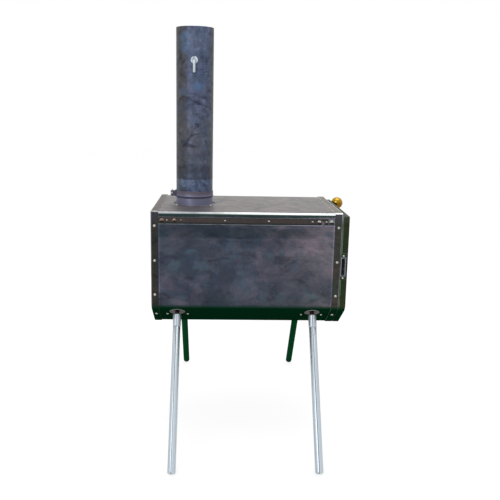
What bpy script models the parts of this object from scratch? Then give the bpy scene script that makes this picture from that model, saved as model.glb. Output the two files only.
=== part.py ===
"""Portable sheet-steel wood stove on four splayed legs, with a flue pipe and damper.

Frame while modelling: X runs from the rear cap (0) to the front, Y is across, and Z is 0 on the
cooking face. Objects are then moved by PLACE, so that the feet stand on Z = 0 under the middle
of the whole stove. All sizes are in metres.
"""
import math

import bmesh
import bpy
from mathutils import Matrix, Vector

# Sheet and fit
SHEET = 0.0015
GAP = 0.0003
RUNNING_GAP = 0.0006

# Firebox
BODY_LENGTH = 0.508
BODY_WIDTH = 0.345
BODY_HEIGHT = 0.3305
BEVEL_HEIGHT = 0.0795
BAND_ANGLE = math.radians(35.0)
SIDE_BEND = 0.025
BOTTOM_BEND = 0.020
TOP_CORNER = 0.003
STAND_HEIGHT = 0.6355

# Cooking plate and end caps
TOP_BEND = 0.005
TOP_FLANGE = 0.0115
TOP_NOTCH = 0.004
CAP_FLANGE = 0.020
CAP_RIVET_TOP = 0.0394
CAP_RIVET_ABOVE_BEVEL = 0.0238
CAP_RIVET_ROWS = 3
CAP_BAND_RIVET = 0.036

# Fasteners
RIVET_HEAD = 0.0034
SMALL_HEAD = 0.0026
RIVET_RISE = 0.0018
RIVET_SHANK = 0.0016
RIVET_TAIL = 0.0012
RIVET_SHOULDER = (0.62, 0.78)
DRILL_ABOVE = 0.002
CUT_PAST = 0.01

# Door mouth and front frame
MOUTH_LAND = 0.047
MOUTH_TOP = 0.048
MOUTH_ABOVE_BEVEL = 0.008
MOUTH_CORNER = 0.012
FRAME_DEPTH = 0.018
FRAME_DROP = 0.009
FRAME_LIP = 0.009

# Strike plates
STRIKE_LENGTH = 0.074
STRIKE_WIDTH = 0.013
STRIKE_SHEET = 0.001
STRIKE_FROM_CAP = 0.0067
SLOT_LENGTH = 0.042
SLOT_WIDTH = 0.007
SLOT_MARGIN = 0.001
STRIKE_RIVET_PITCH = 0.061
COVER_SHEET = 0.001
COVER_DEPTH = 0.0085

# Door
DOOR_LAP = 0.014
DOOR_CORNER = 0.008
DOOR_OFF = 0.0004
BAFFLE_OFF = 0.0095
BAFFLE_CLEAR = 0.008
SPACER_RADIUS = 0.004
SPACER_INSET = 0.016
SPACER_RAISE = 0.034

# Hinges
HINGE_OFF = 0.010
HINGE_AXIS_X = 0.008
KNUCKLE_RADIUS = 0.0045
KNUCKLE_LENGTH = 0.018
HINGE_PIN_RADIUS = 0.0025
HINGE_PIN_HEAD = 0.004
HINGE_ABOVE_STRIKE = 0.063
HINGE_BELOW_STRIKE = 0.040
LEAF_REACH = 0.040
LEAF_SHEET = 0.0015
FRAME_LEAF_HALF = 0.0058

# Latch
LATCH_FROM_SIDE = 0.074
LATCH_FRONT = 0.0045
LATCH_SHEET = 0.004
LATCH_HUB = 0.013
LATCH_HUB_SHEET = 0.0046
TONGUE_WIDTH = 0.014
TONGUE_SHORT_OF_FACE = 0.0006
LATCH_THROW = math.radians(45.0)
LATCH_ARM = 0.060
ROD_RADIUS = 0.0045
ROD_SINK = 0.0007
ROD_START = 0.022
ROD_BEND_START = 0.055
ROD_BEND_END = 0.105
LATCH_BOLT = 0.004
LATCH_BOLT_HEAD = 0.0075
LATCH_BOLT_RISE = 0.0035
LATCH_NUT = 0.0065
LATCH_NUT_DEPTH = 0.005
KNOB_RADIUS = 0.018
KNOB_FROM_SIDE = 0.024
KNOB_BELOW_TOP = 0.0165
KNOB_FROM_CAP = 0.0385
KNOB_BORE_DEPTH = 0.010

# Draft shutter
DRAFT_ABOVE_MOUTH_BOTTOM = 0.019
DRAFT_HOLE = 0.007
DRAFT_PITCH = 0.026
DRAFT_HOLES = 5
DRAFT_TRAVEL = 0.013
DRAFT_SHEET = 0.0012
DRAFT_PLATE_HEIGHT = 0.024
DRAFT_MARGIN = 0.034
DRAFT_TAB = 0.008
DRAFT_STUD = 0.0022

# Flue
FLUE_X = 0.109
FLUE_Y = 0.0
FLUE_RADIUS = 0.0515
FLUE_WALL = 0.001
FLUE_TOP = 0.478
COLLAR_HEIGHT = 0.0165
COLLAR_NECK = 0.058
COLLAR_HOLE_CLEAR = 0.008
COLLAR_FLANGE = 0.072
COLLAR_RIVET_CIRCLE = 0.066
CLAMP_WIDTH = 0.016
CLAMP_LIFT = 0.0015
CLAMP_SHEET = 0.0012
CLAMP_EAR = 0.015
CLAMP_EAR_GAP = 0.005
CLAMP_SCREW = 0.0025
CLAMP_SCREW_HEAD = 0.0042
WING_SPAN = 0.0100
WING_HUB = 0.0045

# Damper
DAMPER_HEIGHT = 0.3905
DAMPER_CLEAR = 0.0022
DAMPER_SHEET = 0.002
DAMPER_ROD = 0.0035
DAMPER_BOSS = 0.006
DAMPER_HANDLE = 0.034
DAMPER_ROD_OUT = 0.009
DAMPER_BEND = 0.006
DAMPER_WASHER = 0.0095
DAMPER_SCREW = 0.0015
DAMPER_SCREW_HEAD = 0.0028
DAMPER_SCREW_PITCH = 0.050

# Side rails
RAIL_TOP = 0.0152
RAIL_HEIGHT = 0.0195
RAIL_LIP = 0.004
RAIL_RIVET_PITCH = 0.1158
RAIL_RIVETS = 4
RAIL_RIVET_DROP = 0.0094
RAIL_NOTCH_FROM_END = 0.052
RAIL_NOTCH_WIDTH = 0.007
RAIL_NOTCH_DEPTH = 0.012
RAIL_END_SCREWS = ((0.030, 0.0042), (0.0435, 0.0026), (0.0625, 0.0042))

# Legs
LEG_FROM_END = 0.068
LEG_SEAT = 0.021
LEG_WASHER = 0.0205
LEG_WASHER_SHEET = 0.0015
LEG_BOLT = 0.006
LEG_BOLT_IN_FERRULE = 0.020
LEG_NECK = 0.009
LEG_HEAD = 0.0105
LEG_HEAD_DEPTH = 0.008
LEG_PLATE_LENGTH = 0.076
LEG_PLATE_UP = 0.016
LEG_PLATE_DOWN = 0.030
LEG_RIVET_SPREAD = 0.028
LEG_RIVET_DOWN = 0.021
FERRULE_RADIUS = 0.0112
FERRULE_LENGTH = 0.034
SPIGOT_LENGTH = 0.030
SPIGOT_CHAMFER = 0.002
BOLT_END_CLEAR = 0.002
TUBE_RADIUS = 0.0105
TUBE_WALL = 0.0015
TUBE_FLOOR = 0.004
FOOT_ROUND = 0.004

# Facets
ROUND = 36
TUBE_SIDES = 16
SMALL_SIDES = 10
RIVET_SIDES = 6

# Worked-out places
UNDER_CAP = SHEET + GAP
SIDE_HEIGHT = BODY_HEIGHT - BEVEL_HEIGHT
CAP_RIVET_PITCH = (SIDE_HEIGHT - CAP_RIVET_TOP - CAP_RIVET_ABOVE_BEVEL) / (CAP_RIVET_ROWS - 1)
MOUTH_WIDTH = BODY_WIDTH - 2 * MOUTH_LAND
MOUTH_BOTTOM = SIDE_HEIGHT - MOUTH_ABOVE_BEVEL
STRIKE_HEIGHT = (MOUTH_TOP + MOUTH_BOTTOM) / 2
HINGE_UPPER = STRIKE_HEIGHT - HINGE_ABOVE_STRIKE
HINGE_LOWER = STRIKE_HEIGHT + HINGE_BELOW_STRIKE
DRAFT_HEIGHT = MOUTH_BOTTOM - DRAFT_ABOVE_MOUTH_BOTTOM
LATCH_ACROSS = BODY_WIDTH / 2 - LATCH_FROM_SIDE
KNOB_ACROSS = BODY_WIDTH / 2 - KNOB_FROM_SIDE
FRAME_BACK = BODY_LENGTH + GAP
FRAME_FRONT = FRAME_BACK + FRAME_DEPTH
DOOR_BACK = BODY_LENGTH + DOOR_OFF
DOOR_FRONT = DOOR_BACK + SHEET
DOOR_WIDTH = MOUTH_WIDTH + 2 * DOOR_LAP
DOOR_TOP = MOUTH_TOP - DOOR_LAP
DOOR_BOTTOM = MOUTH_BOTTOM + DOOR_LAP
HINGE_Y = -(DOOR_WIDTH / 2 + HINGE_OFF)
HINGE_X = BODY_LENGTH + HINGE_AXIS_X
BAFFLE_FRONT = BODY_LENGTH - BAFFLE_OFF
TONGUE_TIP = BODY_WIDTH / 2 - LATCH_ACROSS - TONGUE_SHORT_OF_FACE + SHEET / 2
COLLAR_HOLE = FLUE_RADIUS + COLLAR_HOLE_CLEAR
PLATE_TOP = -UNDER_CAP
PLATE_UNDER = PLATE_TOP - SHEET
SHELL_TOP = PLATE_TOP - TOP_BEND
FLUE_BORE = FLUE_RADIUS - FLUE_WALL
DRAFT_BACK = DOOR_FRONT + GAP
DRAFT_LENGTH = (DRAFT_HOLES - 1) * DRAFT_PITCH + 2 * DRAFT_MARGIN
PLACE = Vector((-(BODY_LENGTH + KNOB_FROM_CAP + KNOB_RADIUS) / 2, 0.0, STAND_HEIGHT))

# Finishes: base colour, metallic, roughness
BLUED_STEEL = ((0.115, 0.112, 0.150, 1.0), 0.75, 0.45)
CAP_STEEL = ((0.070, 0.055, 0.060, 1.0), 0.70, 0.50)
PLATE_STEEL = ((0.200, 0.160, 0.170, 1.0), 0.75, 0.40)
PIPE_STEEL = ((0.060, 0.065, 0.100, 1.0), 0.75, 0.40)
BRIGHT_STEEL = ((0.620, 0.630, 0.660, 1.0), 0.95, 0.25)
DULL_ZINC = ((0.430, 0.420, 0.400, 1.0), 0.90, 0.40)
BRASS = ((0.700, 0.400, 0.070, 1.0), 1.00, 0.22)


# Outlines

def arc(centre, radius, start, stop, steps):
    """Points on an arc; angles are measured from +Y towards -Z."""
    points = []
    for step in range(steps + 1):
        angle = start + (stop - start) * step / steps
        points.append((centre[0] + radius * math.cos(angle), centre[1] - radius * math.sin(angle)))
    return points


def band_normal_angle():
    return math.pi / 2 - BAND_ANGLE


def bottom_bend_centre():
    """Centre of the far bottom bend, so that the band touches both bends."""
    alpha = band_normal_angle()
    rise = SIDE_BEND - BOTTOM_BEND + (SIDE_HEIGHT + BOTTOM_BEND - BODY_HEIGHT) * math.sin(alpha)
    across = BODY_WIDTH / 2 - SIDE_BEND + rise / math.cos(alpha)
    return across, BOTTOM_BEND - BODY_HEIGHT


def side_bend_centre():
    return BODY_WIDTH / 2 - SIDE_BEND, -SIDE_HEIGHT


def lower_half(inset):
    """Far side from the end of the upright wall round to the flat bottom."""
    alpha = band_normal_angle()
    points = arc(side_bend_centre(), SIDE_BEND - inset, 0.0, alpha, 5)
    points += arc(bottom_bend_centre(), BOTTOM_BEND - inset, alpha, math.pi / 2, 4)
    return points


def mirrored(points):
    """The points and their mirror image on the near side, as one run."""
    return points + [(-y, z) for y, z in reversed(points)]


def body_outline(inset, top):
    """Closed outline of the firebox end, drawn in by inset and flat at height -top."""
    half = BODY_WIDTH / 2 - inset
    corner = TOP_CORNER - inset
    if corner > GAP:
        start = arc((half - corner, -top - corner), corner, -math.pi / 2, 0.0, 3)
    else:
        start = [(half, -top)]
    return mirrored(start + lower_half(inset))


def rounded_rectangle(width, low, high, radius, steps=3):
    """Closed outline, anticlockwise seen from the front."""
    half = width / 2 - radius
    corners = (
        ((half, high - radius), -math.pi / 2),
        ((half, low + radius), 0.0),
        ((-half, low + radius), math.pi / 2),
        ((-half, high - radius), math.pi),
    )
    points = []
    for centre, start in corners:
        points += arc(centre, radius, start, start + math.pi / 2, steps)
    return points


def band_point(along, inset):
    """Point (y, z) on the far slanted band, measured down from its upper end."""
    alpha = band_normal_angle()
    upper = arc(side_bend_centre(), SIDE_BEND - inset, alpha, alpha, 1)[0]
    return upper[0] - along * math.cos(BAND_ANGLE), upper[1] - along * math.sin(BAND_ANGLE)


# Mesh helpers

def clear_scene():
    for item in list(bpy.data.objects):
        bpy.data.objects.remove(item, do_unlink=True)


def add_finish(obj, finish):
    colour, metallic, roughness = finish
    material = bpy.data.materials.new(obj.name + "_finish")
    material.use_nodes = True
    shader = material.node_tree.nodes["Principled BSDF"]
    shader.inputs["Base Color"].default_value = colour
    shader.inputs["Metallic"].default_value = metallic
    shader.inputs["Roughness"].default_value = roughness
    material.diffuse_color = colour
    obj.data.materials.append(material)


def make_object(name, bm, finish=None, anchor=(0.0, 0.0, 0.0)):
    """Turns a mesh in the modelling frame into an object whose origin is at anchor."""
    bmesh.ops.translate(bm, verts=bm.verts, vec=-Vector(anchor))
    mesh = bpy.data.meshes.new(name)
    bm.to_mesh(mesh)
    bm.free()
    mesh.shade_smooth()
    mesh.set_sharp_from_angle(angle=math.radians(30.0))
    obj = bpy.data.objects.new(name, mesh)
    obj.location = Vector(anchor) + PLACE
    bpy.context.scene.collection.objects.link(obj)
    if finish:
        add_finish(obj, finish)
    return obj


def hide_tool(obj):
    obj.hide_render = True
    obj.display_type = "WIRE"


def combine(target, tool, operation):
    """Boolean with a tool object, which is left out of the model."""
    hide_tool(tool)
    modifier = target.modifiers.new(tool.name, "BOOLEAN")
    modifier.operation = operation
    modifier.solver = "EXACT"
    modifier.object = tool


def add_prism(bm, outline, x0, x1):
    """Solid between x0 and x1 whose ends are the outline (y, z)."""
    corners = [bm.verts.new((x0, y, z)) for y, z in outline]
    face = bm.faces.new(corners)
    moved = bmesh.ops.extrude_face_region(bm, geom=[face])
    verts = [item for item in moved["geom"] if isinstance(item, bmesh.types.BMVert)]
    bmesh.ops.translate(bm, verts=verts, vec=(x1 - x0, 0.0, 0.0))
    bm.faces.ensure_lookup_table()
    bmesh.ops.recalc_face_normals(bm, faces=bm.faces)


def add_box(bm, low, high):
    size = Vector(high) - Vector(low)
    centre = (Vector(high) + Vector(low)) / 2
    matrix = Matrix.Translation(centre) @ Matrix.Diagonal((*size, 1.0))
    bmesh.ops.create_cube(bm, size=1.0, matrix=matrix)


def add_turned(bm, profile, sides, matrix=Matrix.Identity(4), closed=False):
    """Turns a profile of (radius, height) round the local Z axis."""
    before = set(bm.verts)
    verts = [bm.verts.new((radius, 0.0, height)) for radius, height in profile]
    pairs = list(zip(verts, verts[1:]))
    if closed:
        pairs.append((verts[-1], verts[0]))
    edges = [bm.edges.new(pair) for pair in pairs]
    bmesh.ops.spin(bm, geom=verts + edges, cent=(0, 0, 0), axis=(0, 0, 1),
                   angle=2 * math.pi, steps=sides, use_merge=True)
    made = [vert for vert in bm.verts if vert not in before]
    bmesh.ops.remove_doubles(bm, verts=made, dist=1e-6)
    made = [vert for vert in bm.verts if vert not in before]
    faces = list({face for vert in made for face in vert.link_faces})
    bmesh.ops.recalc_face_normals(bm, faces=faces)
    bmesh.ops.transform(bm, matrix=matrix, verts=made)


def turned_object(name, profile, sides, finish, matrix, anchor=(0, 0, 0), closed=False):
    bm = bmesh.new()
    add_turned(bm, profile, sides, matrix, closed)
    return make_object(name, bm, finish, anchor)


def frame_at(point, normal):
    """Matrix with its origin at point and its Z axis along normal."""
    turn = Vector(normal).to_track_quat("Z", "Y").to_matrix().to_4x4()
    return Matrix.Translation(point) @ turn


def add_cylinder(bm, start, stop, radius, sides):
    start, stop = Vector(start), Vector(stop)
    profile = ((0.0, 0.0), (radius, 0.0), (radius, (stop - start).length), (0.0, (stop - start).length))
    add_turned(bm, profile, sides, frame_at(start, stop - start))


def add_rivet(bm, point, normal, reach, head=RIVET_HEAD):
    """Domed head on the surface at point, with a shank that goes down to reach."""
    rise = RIVET_RISE * head / RIVET_HEAD
    wide, tall = RIVET_SHOULDER
    profile = ((0.0, rise), (head * wide, rise * tall), (head, 0.0), (head, -SHEET / 4),
               (RIVET_SHANK, -SHEET / 4), (RIVET_SHANK, -reach), (0.0, -reach))
    add_turned(bm, profile, RIVET_SIDES, frame_at(point, normal))


def set_rivets(target, label, places, reach, head=RIVET_HEAD):
    """Rivets set in a sheet, one piece with it, each shank going on through its neighbour."""
    bm = bmesh.new()
    for point, normal in places:
        add_rivet(bm, point, normal, reach, head)
    anchor = Vector(target.location) - PLACE
    combine(target, make_object("join_" + label, bm, None, anchor), "UNION")


def drill(target, label, places, depth, radius=RIVET_SHANK + GAP, sides=RIVET_SIDES):
    """Holes through target at each place, from above the surface down to depth."""
    bm = bmesh.new()
    for point, normal in places:
        outer = Vector(point) + Vector(normal) * DRILL_ABOVE
        inner = Vector(point) - Vector(normal) * depth
        add_cylinder(bm, outer, inner, radius, sides)
    combine(target, make_object("cut_" + label, bm), "DIFFERENCE")


def sheet_object(name, run, x0, x1, finish):
    """Bent sheet of one thickness, whose outer face follows an open run of points."""
    bm = bmesh.new()
    verts = [bm.verts.new((x0, y, z)) for y, z in run]
    edges = [bm.edges.new(pair) for pair in zip(verts, verts[1:])]
    moved = bmesh.ops.extrude_edge_only(bm, edges=edges)
    verts = [item for item in moved["geom"] if isinstance(item, bmesh.types.BMVert)]
    bmesh.ops.translate(bm, verts=verts, vec=(x1 - x0, 0.0, 0.0))
    bm.normal_update()
    middle = Vector((0.0, 0.0, -BODY_HEIGHT / 2))
    inward = sum(1 for face in bm.faces if face.normal.dot(face.calc_center_median() - middle) < 0)
    if inward > len(bm.faces) / 2:
        bmesh.ops.reverse_faces(bm, faces=bm.faces)
    obj = make_object(name, bm, finish)
    thicken(obj)
    return obj


def pan_object(name, outline, closed_x, open_x, finish):
    """Shallow pan of one sheet thickness, closed at closed_x and open at open_x."""
    bm = bmesh.new()
    add_prism(bm, outline, closed_x, open_x)
    far = [face for face in bm.faces if abs(face.calc_center_median().x - open_x) < 1e-6
           and len(face.verts) == len(outline)]
    bmesh.ops.delete(bm, geom=far, context="FACES_ONLY")
    obj = make_object(name, bm, finish)
    thicken(obj)
    return obj


def thicken(obj):
    modifier = obj.modifiers.new("sheet", "SOLIDIFY")
    modifier.thickness = SHEET
    modifier.offset = -1.0
    modifier.use_even_offset = True


def hole_tool(name, outline, x0, x1):
    bm = bmesh.new()
    add_prism(bm, outline, x0, x1)
    return make_object(name, bm)


# Places shared by more than one piece

def cap_rivet_places(front):
    """Rivets on both side flanges and both slanted bands of one end cap."""
    x = BODY_LENGTH - CAP_FLANGE / 2 if front else CAP_FLANGE / 2
    places = []
    for side in (-1, 1):
        for row in range(CAP_RIVET_ROWS):
            z = -CAP_RIVET_TOP - row * CAP_RIVET_PITCH
            places.append(((x, side * BODY_WIDTH / 2, z), (0, side, 0)))
        y, z = band_point(CAP_BAND_RIVET, 0.0)
        places.append(((x, side * y, z), band_normal(side)))
    return places


def band_normal(side):
    return (0.0, side * math.sin(BAND_ANGLE), -math.cos(BAND_ANGLE))


def frame_rivet_places():
    """Rivets through the lip of the front frame into the front cap."""
    x = FRAME_BACK + SHEET
    across = BODY_WIDTH / 2 - SHEET - FRAME_LIP / 2
    top = -(FRAME_DROP + SHEET + FRAME_LIP / 2)
    bottom = -(BODY_HEIGHT - SHEET - FRAME_LIP / 2)
    flat = bottom_bend_centre()[0] * 0.6
    spots = [(-across * 0.5, top), (across * 0.5, top), (-flat, bottom), (flat, bottom)]
    spots += [(side * across, z) for side in (-1, 1) for z in (-MOUTH_TOP, -DOOR_BOTTOM + HINGE_AXIS_X)]
    return [((x, y, z), (1, 0, 0)) for y, z in spots]


def strike_rivet_places(side):
    y = side * (BODY_WIDTH / 2 + GAP + STRIKE_SHEET)
    x = BODY_LENGTH + STRIKE_FROM_CAP
    heights = (-STRIKE_HEIGHT - STRIKE_RIVET_PITCH / 2, -STRIKE_HEIGHT + STRIKE_RIVET_PITCH / 2)
    return [((x, y, z), (0, side, 0)) for z in heights]


def rail_rivet_places(side):
    y = side * (BODY_WIDTH / 2 - UNDER_CAP + GAP + SHEET)
    middle = BODY_LENGTH / 2
    first = middle - RAIL_RIVET_PITCH * (RAIL_RIVETS - 1) / 2
    z = -RAIL_TOP - RAIL_RIVET_DROP
    return [((first + k * RAIL_RIVET_PITCH, y, z), (0, side, 0)) for k in range(RAIL_RIVETS)]


def rail_screw_places(side):
    """Places and head radii of the screws at both ends of a rail."""
    y = side * (BODY_WIDTH / 2 - UNDER_CAP + GAP + SHEET)
    z = -RAIL_TOP - RAIL_RIVET_DROP
    places = []
    for from_end, head in RAIL_END_SCREWS:
        for x in (from_end, BODY_LENGTH - from_end):
            places.append((((x, y, z), (0, side, 0)), head))
    return places


def leg_sites():
    """Name, side and X of each leg."""
    ends = (("rear", LEG_FROM_END), ("front", BODY_LENGTH - LEG_FROM_END))
    sides = (("near", -1), ("far", 1))
    return [(f"{end}_{label}", side, x) for end, x in ends for label, side in sides]


def leg_frame(side, x, down=0.0):
    """Matrix on the outside of the shell's band, with Z along the leg towards its foot."""
    y, z = band_point(LEG_SEAT + down, UNDER_CAP)
    turn = Matrix.Rotation(-side * (math.pi - BAND_ANGLE), 4, "X")
    return Matrix.Translation((x, side * y, z)) @ turn


def leg_rivet_places(side, x):
    y, z = band_point(LEG_SEAT + LEG_RIVET_DOWN, UNDER_CAP)
    return [((x + step, side * y, z), band_normal(side)) for step in (-LEG_RIVET_SPREAD, LEG_RIVET_SPREAD)]


def collar_rivet_places():
    places = []
    for quarter in range(4):
        angle = math.pi / 4 + quarter * math.pi / 2
        x = FLUE_X + COLLAR_RIVET_CIRCLE * math.cos(angle)
        y = FLUE_Y + COLLAR_RIVET_CIRCLE * math.sin(angle)
        places.append(((x, y, PLATE_TOP), (0, 0, 1)))
    return places


def spacer_places():
    half = MOUTH_WIDTH / 2 - BAFFLE_CLEAR - SPACER_INSET
    top = -MOUTH_TOP - BAFFLE_CLEAR - SPACER_INSET
    bottom = -MOUTH_BOTTOM + BAFFLE_CLEAR + SPACER_RAISE
    return [(side * half, z) for side in (-1, 1) for z in (top, bottom)]


def draft_hole_places():
    first = -DRAFT_PITCH * (DRAFT_HOLES - 1) / 2
    return [(first + k * DRAFT_PITCH, -DRAFT_HEIGHT) for k in range(DRAFT_HOLES)]


def draft_stud_places():
    offset = DRAFT_PITCH * (DRAFT_HOLES - 1) / 2 + DRAFT_PITCH / 2
    return [(side * offset, -DRAFT_HEIGHT) for side in (-1, 1)]


def hinge_sites():
    return (("upper", -HINGE_UPPER), ("lower", -HINGE_LOWER))


def hinge_rivet_places(z):
    """Rivets that hold a door leaf, at the height of its knuckle."""
    x = DOOR_FRONT + GAP + LEAF_SHEET
    middle = z + KNUCKLE_LENGTH / 2
    return [((x, HINGE_Y + reach, middle), (1, 0, 0)) for reach in (LEAF_REACH * 0.55, LEAF_REACH * 0.85)]


def frame_leaf_rivet_places(z):
    y = -(BODY_WIDTH / 2 - SHEET - GAP - LEAF_SHEET)
    middle = z - KNUCKLE_LENGTH / 2
    reach = FRAME_LEAF_HALF - SMALL_HEAD - GAP / 2
    return [((HINGE_X + step, y, middle), (0, 1, 0)) for step in (-reach, reach)]


# Firebox

def make_body_shell():
    half = BODY_WIDTH / 2 - UNDER_CAP
    run = mirrored([(half, SHELL_TOP)] + lower_half(UNDER_CAP))
    shell = sheet_object("body_shell", run, UNDER_CAP, BODY_LENGTH - UNDER_CAP, BLUED_STEEL)
    places = cap_rivet_places(False) + cap_rivet_places(True)
    for side in (-1, 1):
        places += rail_rivet_places(side)
        places += [place for place, _ in rail_screw_places(side)]
    for _, side, x in leg_sites():
        places += leg_rivet_places(side, x)
    drill(shell, "shell_rivets", places, 2 * SHEET + 4 * GAP + RIVET_TAIL)
    bolts = [(leg_frame(side, x).translation, band_normal(side)) for _, side, x in leg_sites()]
    drill(shell, "shell_bolts", bolts, 2 * SHEET, LEG_BOLT + GAP, TUBE_SIDES)


def make_top_plate():
    half = BODY_WIDTH / 2
    bend = arc((half - TOP_BEND, PLATE_TOP - TOP_BEND), TOP_BEND, -math.pi / 2, 0.0, 4)
    far_run = bend + [(half, -TOP_FLANGE)]
    run = list(reversed(far_run)) + [(-y, z) for y, z in far_run]
    plate = sheet_object("top_plate", run, UNDER_CAP, BODY_LENGTH - UNDER_CAP, PLATE_STEEL)
    bm = bmesh.new()
    for side in (-1, 1):
        rear, front = (-CUT_PAST, CAP_FLANGE + GAP), (BODY_LENGTH - CAP_FLANGE - GAP, BODY_LENGTH + CUT_PAST)
        for low, high in (rear, front):
            inner, outer = side * (half - TOP_NOTCH), side * (half + CUT_PAST)
            add_box(bm, (low, min(inner, outer), -TOP_FLANGE - CUT_PAST), (high, max(inner, outer), CUT_PAST))
    combine(plate, make_object("cut_plate_corners", bm), "DIFFERENCE")
    centre = ((FLUE_X, FLUE_Y, PLATE_TOP), (0, 0, 1))
    drill(plate, "plate_flue", [centre], 3 * SHEET, COLLAR_HOLE, ROUND)
    drill(plate, "plate_collar_rivets", collar_rivet_places(), 3 * SHEET)


def make_end_caps():
    reach = 2 * SHEET + GAP + RIVET_TAIL
    rear = pan_object("rear_end_cap", body_outline(0.0, 0.0), 0.0, CAP_FLANGE, CAP_STEEL)
    set_rivets(rear, "rear_cap_rivets", cap_rivet_places(False), reach)
    length = BODY_LENGTH
    front = pan_object("front_end_cap", body_outline(0.0, 0.0), length, length - CAP_FLANGE, CAP_STEEL)
    set_rivets(front, "front_cap_rivets", cap_rivet_places(True), reach)
    mouth = rounded_rectangle(MOUTH_WIDTH, -MOUTH_BOTTOM, -MOUTH_TOP, MOUTH_CORNER)
    combine(front, hole_tool("cut_mouth", mouth, length - CUT_PAST, length + CUT_PAST), "DIFFERENCE")
    drill(front, "cap_frame_rivets", frame_rivet_places(), 3 * SHEET + 2 * GAP)


# Front frame and strikes

def make_front_frame():
    frame = pan_object("front_frame", body_outline(0.0, FRAME_DROP), FRAME_BACK, FRAME_FRONT, CAP_STEEL)
    window = body_outline(SHEET + FRAME_LIP, FRAME_DROP + SHEET + FRAME_LIP)
    tool = hole_tool("cut_frame_window", window, FRAME_BACK - CUT_PAST, FRAME_BACK + CUT_PAST)
    combine(frame, tool, "DIFFERENCE")
    set_rivets(frame, "frame_rivets", frame_rivet_places(), 2 * SHEET + GAP + RIVET_TAIL)
    bm = bmesh.new()
    x = BODY_LENGTH + STRIKE_FROM_CAP
    for side in (-1, 1):
        low = (x - SLOT_WIDTH / 2 - SLOT_MARGIN, side * BODY_WIDTH / 2 - 0.004,
               -STRIKE_HEIGHT - SLOT_LENGTH / 2 - SLOT_MARGIN)
        high = (x + SLOT_WIDTH / 2 + SLOT_MARGIN, side * BODY_WIDTH / 2 + 0.004,
                -STRIKE_HEIGHT + SLOT_LENGTH / 2 + SLOT_MARGIN)
        add_box(bm, low, high)
    combine(frame, make_object("cut_frame_slots", bm), "DIFFERENCE")
    for side, label in ((-1, "near"), (1, "far")):
        drill(frame, f"frame_strike_{label}", strike_rivet_places(side), 3 * SHEET)
    leaves = [place for _, z in hinge_sites() for place in frame_leaf_rivet_places(z)]
    drill(frame, "frame_leaf_rivets", leaves, 3 * SHEET)


def make_strikes():
    x = BODY_LENGTH + STRIKE_FROM_CAP
    reach = STRIKE_SHEET + SHEET + COVER_SHEET + 2 * GAP + RIVET_TAIL
    for side, label in ((-1, "near"), (1, "far")):
        inner = side * (BODY_WIDTH / 2 + GAP)
        outer = inner + side * STRIKE_SHEET
        bm = bmesh.new()
        add_box(bm, (x - STRIKE_WIDTH / 2, min(inner, outer), -STRIKE_HEIGHT - STRIKE_LENGTH / 2),
                (x + STRIKE_WIDTH / 2, max(inner, outer), -STRIKE_HEIGHT + STRIKE_LENGTH / 2))
        plate = make_object(f"strike_plate_{label}", bm, BLUED_STEEL)
        bm = bmesh.new()
        add_box(bm, (x - SLOT_WIDTH / 2, min(inner, outer) - DRILL_ABOVE, -STRIKE_HEIGHT - SLOT_LENGTH / 2),
                (x + SLOT_WIDTH / 2, max(inner, outer) + DRILL_ABOVE, -STRIKE_HEIGHT + SLOT_LENGTH / 2))
        combine(plate, make_object(f"cut_strike_{label}", bm), "DIFFERENCE")
        set_rivets(plate, f"strike_rivets_{label}", strike_rivet_places(side), reach, SMALL_HEAD)


def make_slot_cover():
    """Pressed cover that closes the unused slot on the near side from within."""
    x = BODY_LENGTH + STRIKE_FROM_CAP
    wall = -(BODY_WIDTH / 2 - SHEET - GAP)
    inner = wall + COVER_SHEET
    bm = bmesh.new()
    add_box(bm, (x - SLOT_WIDTH / 2 - COVER_SHEET / 2, wall, -STRIKE_HEIGHT - STRIKE_LENGTH / 2),
            (x + SLOT_WIDTH / 2 + COVER_SHEET / 2, inner, -STRIKE_HEIGHT + STRIKE_LENGTH / 2))
    cover = make_object("slot_cover", bm, CAP_STEEL)
    wide, tall = SLOT_WIDTH / 2 + COVER_SHEET, SLOT_LENGTH / 2 + COVER_SHEET
    pocket = bmesh.new()
    add_box(pocket, (x - wide, wall + COVER_SHEET / 2, -STRIKE_HEIGHT - tall),
            (x + wide, wall + COVER_DEPTH, -STRIKE_HEIGHT + tall))
    combine(cover, make_object("join_pocket", pocket), "UNION")
    wide, tall = wide - COVER_SHEET, tall - COVER_SHEET
    hollow = bmesh.new()
    add_box(hollow, (x - wide, wall - COVER_SHEET, -STRIKE_HEIGHT - tall),
            (x + wide, wall + COVER_DEPTH - COVER_SHEET, -STRIKE_HEIGHT + tall))
    combine(cover, make_object("cut_pocket", hollow), "DIFFERENCE")
    places = [((x, inner, z), (0, 1, 0)) for (_, _, z), _ in strike_rivet_places(-1)]
    drill(cover, "cover_rivets", places, 2 * COVER_SHEET)


# Door, all on the hinge axis

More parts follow.
